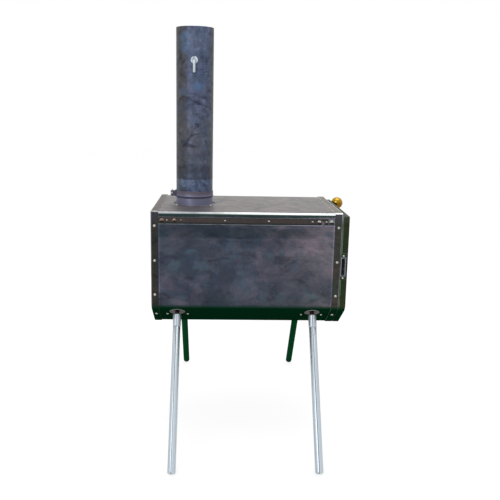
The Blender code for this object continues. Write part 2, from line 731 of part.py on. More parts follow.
def make_door():
    outline = rounded_rectangle(DOOR_WIDTH, -DOOR_BOTTOM, -DOOR_TOP, DOOR_CORNER)
    bm = bmesh.new()
    add_prism(bm, outline, DOOR_BACK, DOOR_FRONT)
    door = make_object("door_plate", bm, BLUED_STEEL, (HINGE_X, HINGE_Y, 0.0))
    through = [((DOOR_FRONT, y, z), (1, 0, 0)) for y, z in draft_hole_places()]
    drill(door, "door_draft", through, 2 * SHEET, DRAFT_HOLE, SMALL_SIDES)
    studs = [((DOOR_FRONT, y, z), (1, 0, 0)) for y, z in draft_stud_places()]
    drill(door, "door_studs", studs, 2 * SHEET, DRAFT_STUD + GAP)
    bolts = [((DOOR_FRONT, y, z), (1, 0, 0)) for y, z in spacer_places()]
    drill(door, "door_spacers", bolts, 2 * SHEET, RIVET_SHANK + GAP)
    pivot = ((DOOR_FRONT, LATCH_ACROSS, -STRIKE_HEIGHT), (1, 0, 0))
    drill(door, "door_pivot", [pivot], 2 * SHEET, LATCH_BOLT + GAP, SMALL_SIDES)
    leaves = [place for _, z in hinge_sites() for place in hinge_rivet_places(z)]
    drill(door, "door_leaf_rivets", leaves, 3 * SHEET + GAP)


def make_baffle():
    """Heat shield behind the door, on four spacers."""
    width = MOUTH_WIDTH - 2 * BAFFLE_CLEAR
    outline = rounded_rectangle(width, BAFFLE_CLEAR - MOUTH_BOTTOM, -MOUTH_TOP - BAFFLE_CLEAR, DOOR_CORNER)
    bm = bmesh.new()
    add_prism(bm, outline, BAFFLE_FRONT - SHEET, BAFFLE_FRONT)
    hinge = (HINGE_X, HINGE_Y, 0.0)
    baffle = make_object("door_baffle", bm, CAP_STEEL, hinge)
    bolts = [((BAFFLE_FRONT, y, z), (1, 0, 0)) for y, z in spacer_places()]
    drill(baffle, "baffle_spacers", bolts, 2 * SHEET, RIVET_SHANK + GAP)
    tail = -SHEET - GAP - RIVET_TAIL
    shoulder = BAFFLE_OFF + DOOR_OFF - GAP
    under_head = DOOR_FRONT - BAFFLE_FRONT + GAP
    profile = ((0.0, tail), (RIVET_SHANK, tail), (RIVET_SHANK, GAP), (SPACER_RADIUS, GAP),
               (SPACER_RADIUS, shoulder), (RIVET_SHANK, shoulder), (RIVET_SHANK, under_head),
               (RIVET_HEAD, under_head), (RIVET_HEAD * 0.6, under_head + RIVET_RISE * 0.7),
               (0.0, under_head + RIVET_RISE))
    for number, (y, z) in enumerate(spacer_places(), 1):
        matrix = frame_at((BAFFLE_FRONT, y, z), (1, 0, 0))
        turned_object(f"baffle_spacer_{number}", profile, RIVET_SIDES, DULL_ZINC, matrix, hinge)


def make_hinges():
    """Two lift-off hinges: a fixed knuckle under a door knuckle on one pin."""
    hinge = (HINGE_X, HINGE_Y, 0.0)
    bore = HINGE_PIN_RADIUS + GAP
    wall = -(BODY_WIDTH / 2 - SHEET - GAP)
    flush = LEAF_SHEET + SHEET
    for label, z in hinge_sites():
        low, high = z - KNUCKLE_LENGTH, z - GAP / 2
        fixed = bmesh.new()
        half = FRAME_LEAF_HALF
        add_box(fixed, (HINGE_X - half, wall, low), (HINGE_X + half, wall + LEAF_SHEET, high))
        leaf = make_object(f"frame_hinge_{label}", fixed, CAP_STEEL)
        tab = bmesh.new()
        add_box(tab, (HINGE_X - LEAF_SHEET / 2, wall + LEAF_SHEET / 2, low + GAP),
                (HINGE_X + LEAF_SHEET / 2, HINGE_Y - HINGE_PIN_RADIUS * 1.3, high - GAP))
        combine(leaf, make_object(f"join_tab_{label}", tab), "UNION")
        set_rivets(leaf, f"frame_leaf_{label}", frame_leaf_rivet_places(z), flush, SMALL_HEAD)
        add_knuckle(leaf, f"frame_{label}", low, high, bore)
        low, high = z + GAP / 2, z + KNUCKLE_LENGTH
        moving = bmesh.new()
        back = DOOR_FRONT + GAP
        add_box(moving, (back, HINGE_Y, low), (back + LEAF_SHEET, HINGE_Y + LEAF_REACH, high))
        leaf = make_object(f"door_hinge_{label}", moving, CAP_STEEL, hinge)
        set_rivets(leaf, f"door_leaf_{label}", hinge_rivet_places(z), flush, SMALL_HEAD)
        add_knuckle(leaf, f"door_{label}", low, high, bore)
        base = z - KNUCKLE_LENGTH - GAP
        top = z + KNUCKLE_LENGTH
        head = HINGE_PIN_HEAD
        profile = ((0.0, base - head / 2), (head, base - head / 2), (head, base),
                   (HINGE_PIN_RADIUS, base), (HINGE_PIN_RADIUS, top), (0.0, top + head / 4))
        matrix = Matrix.Translation((HINGE_X, HINGE_Y, 0.0))
        turned_object(f"hinge_pin_{label}", profile, SMALL_SIDES, DULL_ZINC, matrix, hinge)


def add_knuckle(leaf, label, low, high, bore):
    """Joins a bored barrel on the hinge axis to a leaf."""
    anchor = Vector(leaf.location) - PLACE
    barrel = bmesh.new()
    add_cylinder(barrel, (HINGE_X, HINGE_Y, low - GAP / 4), (HINGE_X, HINGE_Y, high + GAP / 4),
                 KNUCKLE_RADIUS, 2 * RIVET_SIDES)
    combine(leaf, make_object(f"join_knuckle_{label}", barrel, None, anchor), "UNION")
    hole = bmesh.new()
    start, stop = (HINGE_X, HINGE_Y, low - DRILL_ABOVE), (HINGE_X, HINGE_Y, high + DRILL_ABOVE)
    add_cylinder(hole, start, stop, bore, SMALL_SIDES)
    combine(leaf, make_object(f"cut_knuckle_{label}", hole, None, anchor), "DIFFERENCE")


# Latch, on its own pivot in the door

def latch_pivot():
    return Vector((BODY_LENGTH + LATCH_FRONT, LATCH_ACROSS, -STRIKE_HEIGHT))


def knob_centre():
    return Vector((BODY_LENGTH + KNOB_FROM_CAP, KNOB_ACROSS, -KNOB_BELOW_TOP))


def arm_direction():
    reach = knob_centre() - latch_pivot()
    reach.x = 0.0
    return reach.normalized()


def arm_length():
    reach = knob_centre() - latch_pivot()
    reach.x = 0.0
    return reach.length


def add_bar(bm, start, direction, near, far, width, thickness):
    """Flat bar in the latch's plane, from near to far along direction."""
    side = Vector((1.0, 0.0, 0.0)).cross(direction) * width / 2
    back = Vector((start.x, 0.0, 0.0))
    flat = Vector((0.0, start.y, start.z))
    corners = [flat + direction * near - side, flat + direction * far - side,
               flat + direction * far + side, flat + direction * near + side]
    add_prism(bm, [(corner.y, corner.z) for corner in corners], back.x, back.x + thickness)


def rod_path():
    """The handle rod: along the lever, then out from the door and up into the knob."""
    start = latch_pivot()
    direction = arm_direction()
    inner = start.x + LATCH_SHEET + ROD_RADIUS - ROD_SINK
    outer = knob_centre().x
    points = []
    for step in range(13):
        share = step / 12
        along = ROD_BEND_START + (ROD_BEND_END - ROD_BEND_START) * share
        ease = (1 - math.cos(math.pi * share)) / 2
        points.append((inner + (outer - inner) * ease, along))
    last = arm_length() - KNOB_RADIUS + KNOB_BORE_DEPTH - GAP
    points = [(inner, ROD_START)] + points + [(outer, last)]
    return [Vector((x, start.y, start.z)) + direction * along for x, along in points]


def rod_object(name, path, radius, sides, anchor, finish=None):
    """Round rod along a path of points, with flat ends."""
    bm = bmesh.new()
    rings = []
    for index, point in enumerate(path):
        before = path[max(index - 1, 0)]
        after = path[min(index + 1, len(path) - 1)]
        matrix = frame_at(point, after - before)
        ring = bmesh.ops.create_circle(bm, segments=sides, radius=radius, matrix=matrix)["verts"]
        rings.append(ring)
    for lower, upper in zip(rings, rings[1:]):
        edges = [edge for ring in (lower, upper) for edge in bm.edges
                 if edge.verts[0] in ring and edge.verts[1] in ring]
        bmesh.ops.bridge_loops(bm, edges=edges)
    bmesh.ops.holes_fill(bm, edges=bm.edges, sides=sides)
    bmesh.ops.recalc_face_normals(bm, faces=bm.faces)
    return make_object(name, bm, finish, anchor)


def make_latch():
    pivot = latch_pivot()
    tongue_angle = -LATCH_THROW
    tongue = Vector((0.0, math.cos(tongue_angle), math.sin(tongue_angle)))
    bm = bmesh.new()
    add_cylinder(bm, pivot - Vector((GAP / 2, 0, 0)), pivot + Vector((LATCH_HUB_SHEET, 0, 0)), LATCH_HUB, 24)
    lever = make_object("latch_lever", bm, BLUED_STEEL, pivot)
    bm = bmesh.new()
    add_bar(bm, pivot, tongue, 0.0, TONGUE_TIP, TONGUE_WIDTH, LATCH_SHEET)
    combine(lever, make_object("join_tongue", bm, None, pivot), "UNION")
    bm = bmesh.new()
    inset = Vector((GAP / 4, 0.0, 0.0))
    add_bar(bm, pivot + inset, arm_direction(), 0.0, LATCH_ARM, TONGUE_WIDTH * 0.85, LATCH_SHEET)
    combine(lever, make_object("join_arm", bm, None, pivot), "UNION")
    rod = rod_object("join_rod", rod_path(), ROD_RADIUS, 12, pivot)
    combine(lever, rod, "UNION")
    bm = bmesh.new()
    through = Vector((2 * CUT_PAST, 0, 0))
    add_cylinder(bm, pivot - through, pivot + through, LATCH_BOLT + GAP, 12)
    combine(lever, make_object("cut_pivot", bm, None, pivot), "DIFFERENCE")
    make_knob(pivot)
    make_latch_fasteners()


def make_knob(pivot):
    """Ball with a blind bore for the end of the rod."""
    centre = knob_centre()
    bore = ROD_RADIUS + GAP
    floor = -KNOB_RADIUS + KNOB_BORE_DEPTH
    profile = [(0.0, floor), (bore, floor), (bore, -math.sqrt(KNOB_RADIUS ** 2 - bore ** 2))]
    start = math.asin(bore / KNOB_RADIUS)
    steps = 10
    for step in range(1, steps + 1):
        angle = start + (math.pi - start) * step / steps
        profile.append((KNOB_RADIUS * math.sin(angle), -KNOB_RADIUS * math.cos(angle)))
    profile[-1] = (0.0, KNOB_RADIUS)
    matrix = frame_at(centre, arm_direction())
    turned_object("latch_knob", profile, 20, BRASS, matrix, pivot)


def make_latch_fasteners():
    hinge = (HINGE_X, HINGE_Y, 0.0)
    pivot = latch_pivot()
    x_head = pivot.x + LATCH_HUB_SHEET + GAP
    x_end = DOOR_BACK - GAP - LATCH_NUT_DEPTH - 0.001
    rise = LATCH_BOLT_RISE
    length = x_head - x_end
    profile = ((0.0, rise), (LATCH_BOLT_HEAD * 0.55, rise * 0.85), (LATCH_BOLT_HEAD, rise * 0.35),
               (LATCH_BOLT_HEAD, 0.0), (LATCH_BOLT, 0.0), (LATCH_BOLT, -length), (0.0, -length))
    matrix = frame_at((x_head, pivot.y, pivot.z), (1, 0, 0))
    turned_object("latch_bolt", profile, 12, DULL_ZINC, matrix, hinge)
    bore = LATCH_BOLT + GAP
    nut_front = DOOR_BACK - GAP
    solid = ((0.0, 0.0), (LATCH_NUT, 0.0), (LATCH_NUT, -LATCH_NUT_DEPTH), (0.0, -LATCH_NUT_DEPTH))
    centre = (nut_front, pivot.y, pivot.z)
    nut = turned_object("latch_nut", solid, 6, DULL_ZINC, frame_at(centre, (1, 0, 0)), hinge)
    drill(nut, "latch_nut", [(centre, (1, 0, 0))], 2 * LATCH_NUT_DEPTH, bore, 12)
    depth = pivot.x - GAP / 2 - DOOR_FRONT - 2 * GAP
    ring = ((LATCH_BOLT_HEAD, 0.0), (LATCH_BOLT_HEAD, -depth), (bore, -depth), (bore, 0.0))
    matrix = frame_at((pivot.x - GAP / 2 - GAP, pivot.y, pivot.z), (1, 0, 0))
    turned_object("latch_washer", ring, 12, DULL_ZINC, matrix, hinge, closed=True)


# Draft shutter, sliding across the door

def make_draft():
    hinge = (HINGE_X, HINGE_Y, 0.0)
    low = -DRAFT_HEIGHT - DRAFT_PLATE_HEIGHT / 2
    high = -DRAFT_HEIGHT + DRAFT_PLATE_HEIGHT / 2
    bm = bmesh.new()
    outline = rounded_rectangle(DRAFT_LENGTH, low, high, DRAFT_SHEET * 2)
    add_prism(bm, outline, DRAFT_BACK, DRAFT_BACK + DRAFT_SHEET)
    shutter = make_object("draft_shutter", bm, CAP_STEEL, (DRAFT_BACK, 0.0, -DRAFT_HEIGHT))
    anchor = (DRAFT_BACK, 0.0, -DRAFT_HEIGHT)
    bm = bmesh.new()
    end = -DRAFT_LENGTH / 2
    add_box(bm, (DRAFT_BACK + GAP / 4, end - DRAFT_SHEET, low + DRAFT_TAB / 2),
            (DRAFT_BACK + DRAFT_TAB, end + GAP, high - DRAFT_TAB / 2))
    combine(shutter, make_object("join_draft_tab", bm, None, anchor), "UNION")
    shift = DRAFT_TRAVEL
    holes = [((DRAFT_BACK, y - shift, z), (1, 0, 0)) for y, z in draft_hole_places()]
    drill(shutter, "shutter_holes", holes, 0.004, DRAFT_HOLE, SMALL_SIDES)
    bm = bmesh.new()
    reach = DRAFT_STUD + GAP
    for y, z in draft_stud_places():
        add_box(bm, (DRAFT_BACK - DRILL_ABOVE, y - shift - reach, z - reach),
                (DRAFT_BACK + 2 * DRILL_ABOVE, y + reach, z + reach))
    combine(shutter, make_object("cut_shutter_slots", bm), "DIFFERENCE")
    face = DRAFT_SHEET + 2 * GAP
    tail = -SHEET - GAP - RIVET_TAIL
    profile = ((0.0, face + RIVET_RISE), (RIVET_HEAD, face + RIVET_RISE * 0.6), (RIVET_HEAD, face),
               (DRAFT_STUD, face), (DRAFT_STUD, tail), (0.0, tail))
    for (y, z), label in zip(draft_stud_places(), ("near", "far")):
        matrix = frame_at((DOOR_FRONT, y, z), (1, 0, 0))
        turned_object(f"draft_stud_{label}", profile, RIVET_SIDES, DULL_ZINC, matrix, hinge)


# Flue

def make_collar():
    """Collar that comes up through the plate: flange below, shoulder and neck above."""
    top = COLLAR_HEIGHT
    neck = FLUE_BORE - GAP
    flange_top = PLATE_UNDER - GAP
    flange_under = flange_top - SHEET
    profile = ((COLLAR_FLANGE, flange_top), (FLUE_RADIUS, flange_top), (FLUE_RADIUS, top), (neck, top),
               (neck, COLLAR_NECK - 0.003), (neck - 0.0008, COLLAR_NECK), (neck - SHEET, COLLAR_NECK),
               (neck - SHEET, flange_under), (COLLAR_FLANGE, flange_under))
    matrix = Matrix.Translation((FLUE_X, FLUE_Y, 0.0))
    collar = turned_object("flue_collar", profile, ROUND, PIPE_STEEL, matrix, closed=True)
    studs = bmesh.new()
    wide, tall = RIVET_SHOULDER
    for point, normal in collar_rivet_places():
        low = flange_under - PLATE_TOP - RIVET_TAIL
        rivet = ((0.0, GAP + RIVET_RISE), (RIVET_HEAD * wide, GAP + RIVET_RISE * tall), (RIVET_HEAD, GAP),
                 (RIVET_SHANK, GAP), (RIVET_SHANK, low), (0.0, low))
        add_turned(studs, rivet, RIVET_SIDES, frame_at(point, normal))
    combine(collar, make_object("join_collar_rivets", studs), "UNION")


def make_pipe():
    low = COLLAR_HEIGHT + GAP
    profile = ((FLUE_RADIUS, low), (FLUE_RADIUS, FLUE_TOP), (FLUE_BORE, FLUE_TOP), (FLUE_BORE, low))
    matrix = Matrix.Translation((FLUE_X, FLUE_Y, 0.0))
    anchor = (FLUE_X, FLUE_Y, low)
    pipe = turned_object("flue_pipe", profile, ROUND, PIPE_STEEL, matrix, anchor, closed=True)
    bm = bmesh.new()
    reach = FLUE_RADIUS + CUT_PAST
    add_cylinder(bm, (FLUE_X, FLUE_Y - reach, DAMPER_HEIGHT), (FLUE_X, FLUE_Y + reach, DAMPER_HEIGHT),
                 DAMPER_ROD + GAP, 12)
    combine(pipe, make_object("cut_damper_holes", bm, None, anchor), "DIFFERENCE")


def clamp_levels():
    low = COLLAR_HEIGHT + GAP + CLAMP_LIFT
    return low, low + CLAMP_WIDTH


def make_clamp():
    """Split band round the foot of the pipe, drawn up by a screw through its ears."""
    low, high = clamp_levels()
    inner = FLUE_RADIUS + GAP
    outer = inner + CLAMP_SHEET
    anchor = (FLUE_X, FLUE_Y, COLLAR_HEIGHT + GAP)
    profile = ((outer, low), (outer, high), (inner, high), (inner, low))
    matrix = Matrix.Translation((FLUE_X, FLUE_Y, 0.0))
    band = turned_object("clamp_band", profile, ROUND, CAP_STEEL, matrix, anchor, closed=True)
    ears = bmesh.new()
    half = CLAMP_EAR_GAP / 2
    for side in (-1, 1):
        y0, y1 = FLUE_Y + side * half, FLUE_Y + side * (half + CLAMP_SHEET)
        add_box(ears, (FLUE_X - outer - CLAMP_EAR, min(y0, y1), low + GAP),
                (FLUE_X - inner - CLAMP_SHEET * 0.25, max(y0, y1), high - GAP))
    combine(band, make_object("join_ears", ears, None, anchor), "UNION")
    slit = bmesh.new()
    add_box(slit, (FLUE_X - outer - 0.001, FLUE_Y - half, low - DRILL_ABOVE),
            (FLUE_X - inner + 0.003, FLUE_Y + half, high + DRILL_ABOVE))
    combine(band, make_object("cut_slit", slit, None, anchor), "DIFFERENCE")
    x = FLUE_X - outer - CLAMP_EAR + CLAMP_SCREW_HEAD
    z = (low + high) / 2
    face = half + CLAMP_SHEET
    hole = bmesh.new()
    add_cylinder(hole, (x, FLUE_Y - 0.02, z), (x, FLUE_Y + 0.02, z), CLAMP_SCREW + GAP, SMALL_SIDES)
    combine(band, make_object("cut_clamp_screw", hole, None, anchor), "DIFFERENCE")
    head = CLAMP_SCREW_HEAD
    length = 2 * face + 0.010
    profile = ((0.0, GAP + head * 0.7), (head * 0.7, GAP + head * 0.55), (head, GAP), (CLAMP_SCREW, GAP),
               (CLAMP_SCREW, -length), (0.0, -length))
    matrix = frame_at((x, FLUE_Y - face, z), (0, -1, 0))
    turned_object("clamp_screw", profile, SMALL_SIDES, DULL_ZINC, matrix, anchor)
    make_wing_nut(x, FLUE_Y + face + GAP, z, anchor)


def make_wing_nut(x, y, z, anchor):
    bore = CLAMP_SCREW + GAP
    profile = ((WING_HUB, 0.0), (WING_HUB * 0.8, 0.005), (bore, 0.005), (bore, 0.0))
    matrix = frame_at((x, y, z), (0, 1, 0))
    nut = turned_object("clamp_wing_nut", profile, 12, DULL_ZINC, matrix, anchor, closed=True)
    wings = bmesh.new()
    for side in (-1, 1):
        near, far = z + side * (bore + 0.0008), z + side * WING_SPAN
        add_box(wings, (x - 0.0008, y + 0.001, min(near, far)), (x + 0.0008, y + 0.0085, max(near, far)))
    combine(nut, make_object("join_wings", wings, None, anchor), "UNION")


# Damper, turning across the pipe

def damper_axis():
    return (FLUE_X, FLUE_Y, DAMPER_HEIGHT)


def make_damper():
    axis = damper_axis()
    radius = FLUE_BORE - DAMPER_CLEAR
    profile = ((0.0, -DAMPER_SHEET / 2), (radius, -DAMPER_SHEET / 2), (radius, DAMPER_SHEET / 2),
               (0.0, DAMPER_SHEET / 2))
    plate = turned_object("damper_plate", profile, 32, CAP_STEEL, frame_at(axis, (1, 0, 0)), axis)
    boss = bmesh.new()
    reach = DAMPER_SCREW_PITCH / 2 + DAMPER_BOSS
    add_cylinder(boss, (FLUE_X, FLUE_Y - reach, DAMPER_HEIGHT), (FLUE_X, FLUE_Y + reach, DAMPER_HEIGHT),
                 DAMPER_BOSS, 12)
    combine(plate, make_object("join_boss", boss, None, axis), "UNION")
    bore = bmesh.new()
    add_cylinder(bore, (FLUE_X, FLUE_Y - 0.06, DAMPER_HEIGHT), (FLUE_X, FLUE_Y + 0.06, DAMPER_HEIGHT),
                 DAMPER_ROD + GAP, 12)
    combine(plate, make_object("cut_boss", bore, None, axis), "DIFFERENCE")
    places = [((FLUE_X + DAMPER_BOSS, FLUE_Y + side * DAMPER_SCREW_PITCH / 2, DAMPER_HEIGHT), (1, 0, 0))
              for side in (-1, 1)]
    depth = DAMPER_BOSS - DAMPER_ROD - GAP
    drill(plate, "damper_screws", places, depth + 0.001, DAMPER_SCREW + GAP)
    profile = ((0.0, GAP + DAMPER_SCREW), (DAMPER_SCREW_HEAD, GAP + DAMPER_SCREW * 0.7),
               (DAMPER_SCREW_HEAD, GAP), (DAMPER_SCREW, GAP), (DAMPER_SCREW, -depth), (0.0, -depth))
    for (point, normal), label in zip(places, ("near", "far")):
        turned_object(f"damper_screw_{label}", profile, RIVET_SIDES, DULL_ZINC, frame_at(point, normal), axis)
    make_damper_rod(axis)


def make_damper_rod(axis):
    """Shaft across the pipe, bent down outside the near wall as the handle."""
    outside = -(FLUE_RADIUS + DAMPER_ROD_OUT)
    bend_y = outside + DAMPER_BEND
    path = [Vector((FLUE_X, FLUE_Y + FLUE_RADIUS + DAMPER_ROD_OUT * 0.7, DAMPER_HEIGHT))]
    for step in range(7):
        angle = math.pi / 2 * step / 6
        y = FLUE_Y + bend_y - DAMPER_BEND * math.sin(angle)
        z = DAMPER_HEIGHT - DAMPER_BEND * (1 - math.cos(angle))
        path.append(Vector((FLUE_X, y, z)))
    path.append(Vector((FLUE_X, FLUE_Y + outside, DAMPER_HEIGHT - DAMPER_HANDLE)))
    rod_object("damper_rod", path, DAMPER_ROD, 12, axis, BRIGHT_STEEL)
    bore = DAMPER_ROD + GAP
    ring = ((DAMPER_WASHER, 0.0), (DAMPER_WASHER, SHEET), (bore, SHEET), (bore, 0.0))
    matrix = frame_at((FLUE_X, FLUE_Y - FLUE_RADIUS - GAP, DAMPER_HEIGHT), (0, -1, 0))
    turned_object("damper_washer", ring, TUBE_SIDES, BRIGHT_STEEL, matrix,
                  (FLUE_X, FLUE_Y, COLLAR_HEIGHT + GAP), closed=True)


# Side rails

def make_rails():
    reach = 2 * SHEET + GAP + RIVET_TAIL
    for side, label in ((-1, "near"), (1, "far")):
        inner = side * (BODY_WIDTH / 2 - UNDER_CAP + GAP)
        outer = inner + side * SHEET
        lip = inner + side * (SHEET + RAIL_LIP)
        low, high = -RAIL_TOP - RAIL_HEIGHT, -RAIL_TOP
        x0, x1 = CAP_FLANGE + GAP, BODY_LENGTH - CAP_FLANGE - GAP
        outline = [(inner, high), (outer, high), (outer, low + SHEET), (lip, low + SHEET), (lip, low)]
        outline.append((inner, low))
        bm = bmesh.new()
        add_prism(bm, outline, x0, x1)
        rail = make_object(f"side_rail_{label}", bm, CAP_STEEL)
        notch = bmesh.new()
        middle = BODY_LENGTH - RAIL_NOTCH_FROM_END
        add_box(notch, (middle - RAIL_NOTCH_WIDTH / 2, min(inner, lip) - DRILL_ABOVE, low - DRILL_ABOVE),
                (middle + RAIL_NOTCH_WIDTH / 2, max(inner, lip) + DRILL_ABOVE, low + RAIL_NOTCH_DEPTH))
        combine(rail, make_object(f"cut_rail_notch_{label}", notch), "DIFFERENCE")
        bm = bmesh.new()
        for point, normal in rail_rivet_places(side):
            add_rivet(bm, point, normal, reach, SMALL_HEAD)
        for (point, normal), head in rail_screw_places(side):
            add_rivet(bm, point, normal, reach, head)
        combine(rail, make_object(f"join_rail_rivets_{label}", bm), "UNION")


# Legs

def leg_stack():
    """Distances along a leg: neck end, ferrule end and the start of the foot's rounding."""
    ferrule_start = GAP + LEG_WASHER_SHEET + LEG_NECK
    ferrule_end = ferrule_start + FERRULE_LENGTH
    seat_height = band_point(LEG_SEAT, UNDER_CAP)[1] + STAND_HEIGHT
    flat = TUBE_RADIUS - FOOT_ROUND
    foot = (seat_height - flat * math.sin(BAND_ANGLE) - FOOT_ROUND) / math.cos(BAND_ANGLE)
    return ferrule_start, ferrule_end, foot


def foot_angles():
    """Angles round the foot's edge; one of them is the lowest point of the splayed tube."""
    above = [math.pi / 2 - (math.pi / 2 - BAND_ANGLE) * share for share in (1 / 3, 2 / 3, 1.0)]
    return above + [BAND_ANGLE / 2, 0.0]


def make_leg_hardware():
    """Doubler plate inside the shell, bolt with its head inside, and washer outside."""
    start, _, _ = leg_stack()
    bore = LEG_BOLT + GAP
    plate_top = -SHEET - GAP
    deep = plate_top - SHEET - GAP
    end = start + LEG_BOLT_IN_FERRULE
    under, over = GAP, GAP + LEG_WASHER_SHEET
    washer = ((LEG_WASHER, under), (LEG_WASHER, over), (bore, over), (bore, under))
    head = ((0.0, deep - LEG_HEAD_DEPTH), (LEG_HEAD, deep - LEG_HEAD_DEPTH), (LEG_HEAD, deep))
    stem = ((LEG_BOLT, deep), (LEG_BOLT, end), (0.0, end))
    for name, side, x in leg_sites():
        frame = leg_frame(side, x)
        turned_object(f"leg_washer_{name}", washer, 20, CAP_STEEL, frame, closed=True)
        turned_object(f"leg_bolt_{name}", head + stem, 12, CAP_STEEL, frame)
        bm = bmesh.new()
        up, down = -side * LEG_PLATE_UP, side * LEG_PLATE_DOWN
        add_box(bm, (-LEG_PLATE_LENGTH / 2, min(up, down), plate_top - SHEET),
                (LEG_PLATE_LENGTH / 2, max(up, down), plate_top))
        bmesh.ops.transform(bm, matrix=frame, verts=bm.verts)
        plate = make_object(f"leg_plate_{name}", bm, CAP_STEEL)
        drill(plate, f"plate_bolt_{name}", [(frame.translation, band_normal(side))], 4 * SHEET, bore, 12)
        bm = bmesh.new()
        for point, normal in leg_rivet_places(side, x):
            rivet = ((0.0, GAP + RIVET_RISE * 0.7), (SMALL_HEAD * 0.7, GAP + RIVET_RISE * 0.6),
                     (SMALL_HEAD, GAP), (RIVET_SHANK, GAP), (RIVET_SHANK, deep), (0.0, deep))
            add_turned(bm, rivet, RIVET_SIDES, frame_at(point, normal))
        combine(plate, make_object(f"join_plate_rivets_{name}", bm), "UNION")


def make_legs():
    start, end, foot = leg_stack()
    spigot = TUBE_RADIUS - TUBE_WALL - GAP
    bore = LEG_BOLT + GAP
    depth = start + LEG_BOLT_IN_FERRULE + BOLT_END_CLEAR
    tip = end + SPIGOT_LENGTH
    for name, side, x in leg_sites():
        frame = leg_frame(side, x)
        profile = ((bore, start), (FERRULE_RADIUS - 0.0008, start), (FERRULE_RADIUS, start + 0.0012),
                   (FERRULE_RADIUS, end), (spigot, end), (spigot, tip - SPIGOT_CHAMFER),
                   (spigot - SPIGOT_CHAMFER, tip), (0.0, tip), (0.0, depth), (bore, depth))
        turned_object(f"leg_ferrule_{name}", profile, TUBE_SIDES, BRIGHT_STEEL, frame, closed=True)
        seat = end + GAP
        inner = TUBE_RADIUS - TUBE_WALL
        profile = [(inner, seat), (TUBE_RADIUS, seat), (TUBE_RADIUS, foot)]
        flat = TUBE_RADIUS - FOOT_ROUND
        for angle in foot_angles():
            profile.append((flat + FOOT_ROUND * math.sin(angle), foot + FOOT_ROUND * math.cos(angle)))
        profile += [(0.0, foot + FOOT_ROUND), (0.0, foot - TUBE_FLOOR), (inner, foot - TUBE_FLOOR)]
        anchor = frame @ Vector((0.0, 0.0, seat))
        turned_object(f"leg_tube_{name}", profile, TUBE_SIDES, BRIGHT_STEEL, frame, anchor, closed=True)


def main():
    clear_scene()
    make_body_shell()
    make_top_plate()
    make_end_caps()
    make_front_frame()
    make_strikes()
    make_slot_cover()
    make_door()
    make_baffle()
    make_hinges()
    make_latch()
    make_draft()
    make_collar()
    make_pipe()
    make_clamp()
    make_damper()
    make_rails()
    make_leg_hardware()
    make_legs()


main()
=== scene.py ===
"""Portable sheet-steel wood stove: finer pieces, finishes, floor, light and camera.

Pieces are modelled with X from the rear cap to the front, Y across and Z up from the tops of the caps.
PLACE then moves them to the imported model's frame. All sizes are in metres.
"""
import math

import bmesh
import bpy
from bpy.props import FloatProperty, FloatVectorProperty, PointerProperty
from mathutils import Matrix, Vector


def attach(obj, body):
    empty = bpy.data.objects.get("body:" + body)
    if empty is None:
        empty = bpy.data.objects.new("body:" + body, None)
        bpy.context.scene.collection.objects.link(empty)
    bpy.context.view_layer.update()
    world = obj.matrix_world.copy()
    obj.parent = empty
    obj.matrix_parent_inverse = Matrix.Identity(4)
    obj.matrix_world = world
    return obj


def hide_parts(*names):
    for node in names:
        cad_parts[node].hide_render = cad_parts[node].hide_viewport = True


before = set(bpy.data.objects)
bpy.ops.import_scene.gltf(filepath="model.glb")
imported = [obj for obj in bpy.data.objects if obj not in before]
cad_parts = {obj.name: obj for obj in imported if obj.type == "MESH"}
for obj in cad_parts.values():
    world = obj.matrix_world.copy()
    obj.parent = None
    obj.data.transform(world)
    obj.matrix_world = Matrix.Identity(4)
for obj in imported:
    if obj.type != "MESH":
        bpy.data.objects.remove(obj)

bl_info = {
    "name": "Portable wood stove",
    "version": (1, 0, 0),
    "blender": (4, 5, 0),
    "location": "3D View > Sidebar > Stove",
    "description": "Builds a sheet-steel camp stove on splayed tube legs",
    "category": "Add Mesh",
}

PLACE = Vector((-0.28225, 0.0, 0.6355))
BOTH_SIDES = (("near", -1), ("far", 1))

# Sheet and firebox
SHEET = 0.0015
GAP = 0.0003
LENGTH = 0.508
WIDTH = 0.345
HEIGHT = 0.3305
SIDE_HEIGHT = 0.251
BAND_ANGLE = math.radians(35.0)
SIDE_BEND = 0.025
BOTTOM_BEND = 0.020
TOP_CORNER = 0.003
UNDER_CAP = SHEET + GAP
PLATE_TOP = -UNDER_CAP
PLATE_BEND = 0.005
PLATE_FLANGE = 0.0115
PLATE_NOTCH = 0.004
CAP_FLANGE = 0.020
CAP_RIVETS = (-0.0394, -0.1333, -0.2272)
CAP_BAND_RIVET = 0.036
RIM_ROUND = 0.0022

# Fine detail: eased edges, how far cutters stand clear of what they cut, and sides of round pieces
HAIR = 0.0001
EASED = 0.0003
CLEAR = 0.002
CUT = 0.010
PIPE_SIDES = 128
HOLE_SIDES = 96
TUBE_SIDES = 64
KNOB_SIDES = 48
BOLT_SIDES = 32
HEAD_SIDES = 24
SHELL_BEND_STEPS = 12
PLATE_BEND_STEPS = 8
RAIL_BEND_STEPS = 3
ROD_END = (0.35, 0.65, 0.88, 0.98)
WEAR_AND_HIGHLIGHT = {
    # how strongly each edge is lightened, from 0 to 1: worn to bare metal, and given a painted highlight
    # where it would catch the light
    "pan rim": 0.42, "rear crown": 0.25, "front crown": 0.90, "strike rim": 0.36,
    "rail lip": 0.62, "pipe rim": 0.80, "clamp bead": 0.55,
}
SMALL_HEADS = {
    # radius and rise of the smaller domed heads
    "strike": (0.0028, 0.0016), "rail": (0.0029, 0.0016), "leg": (0.0031, 0.0018),
}

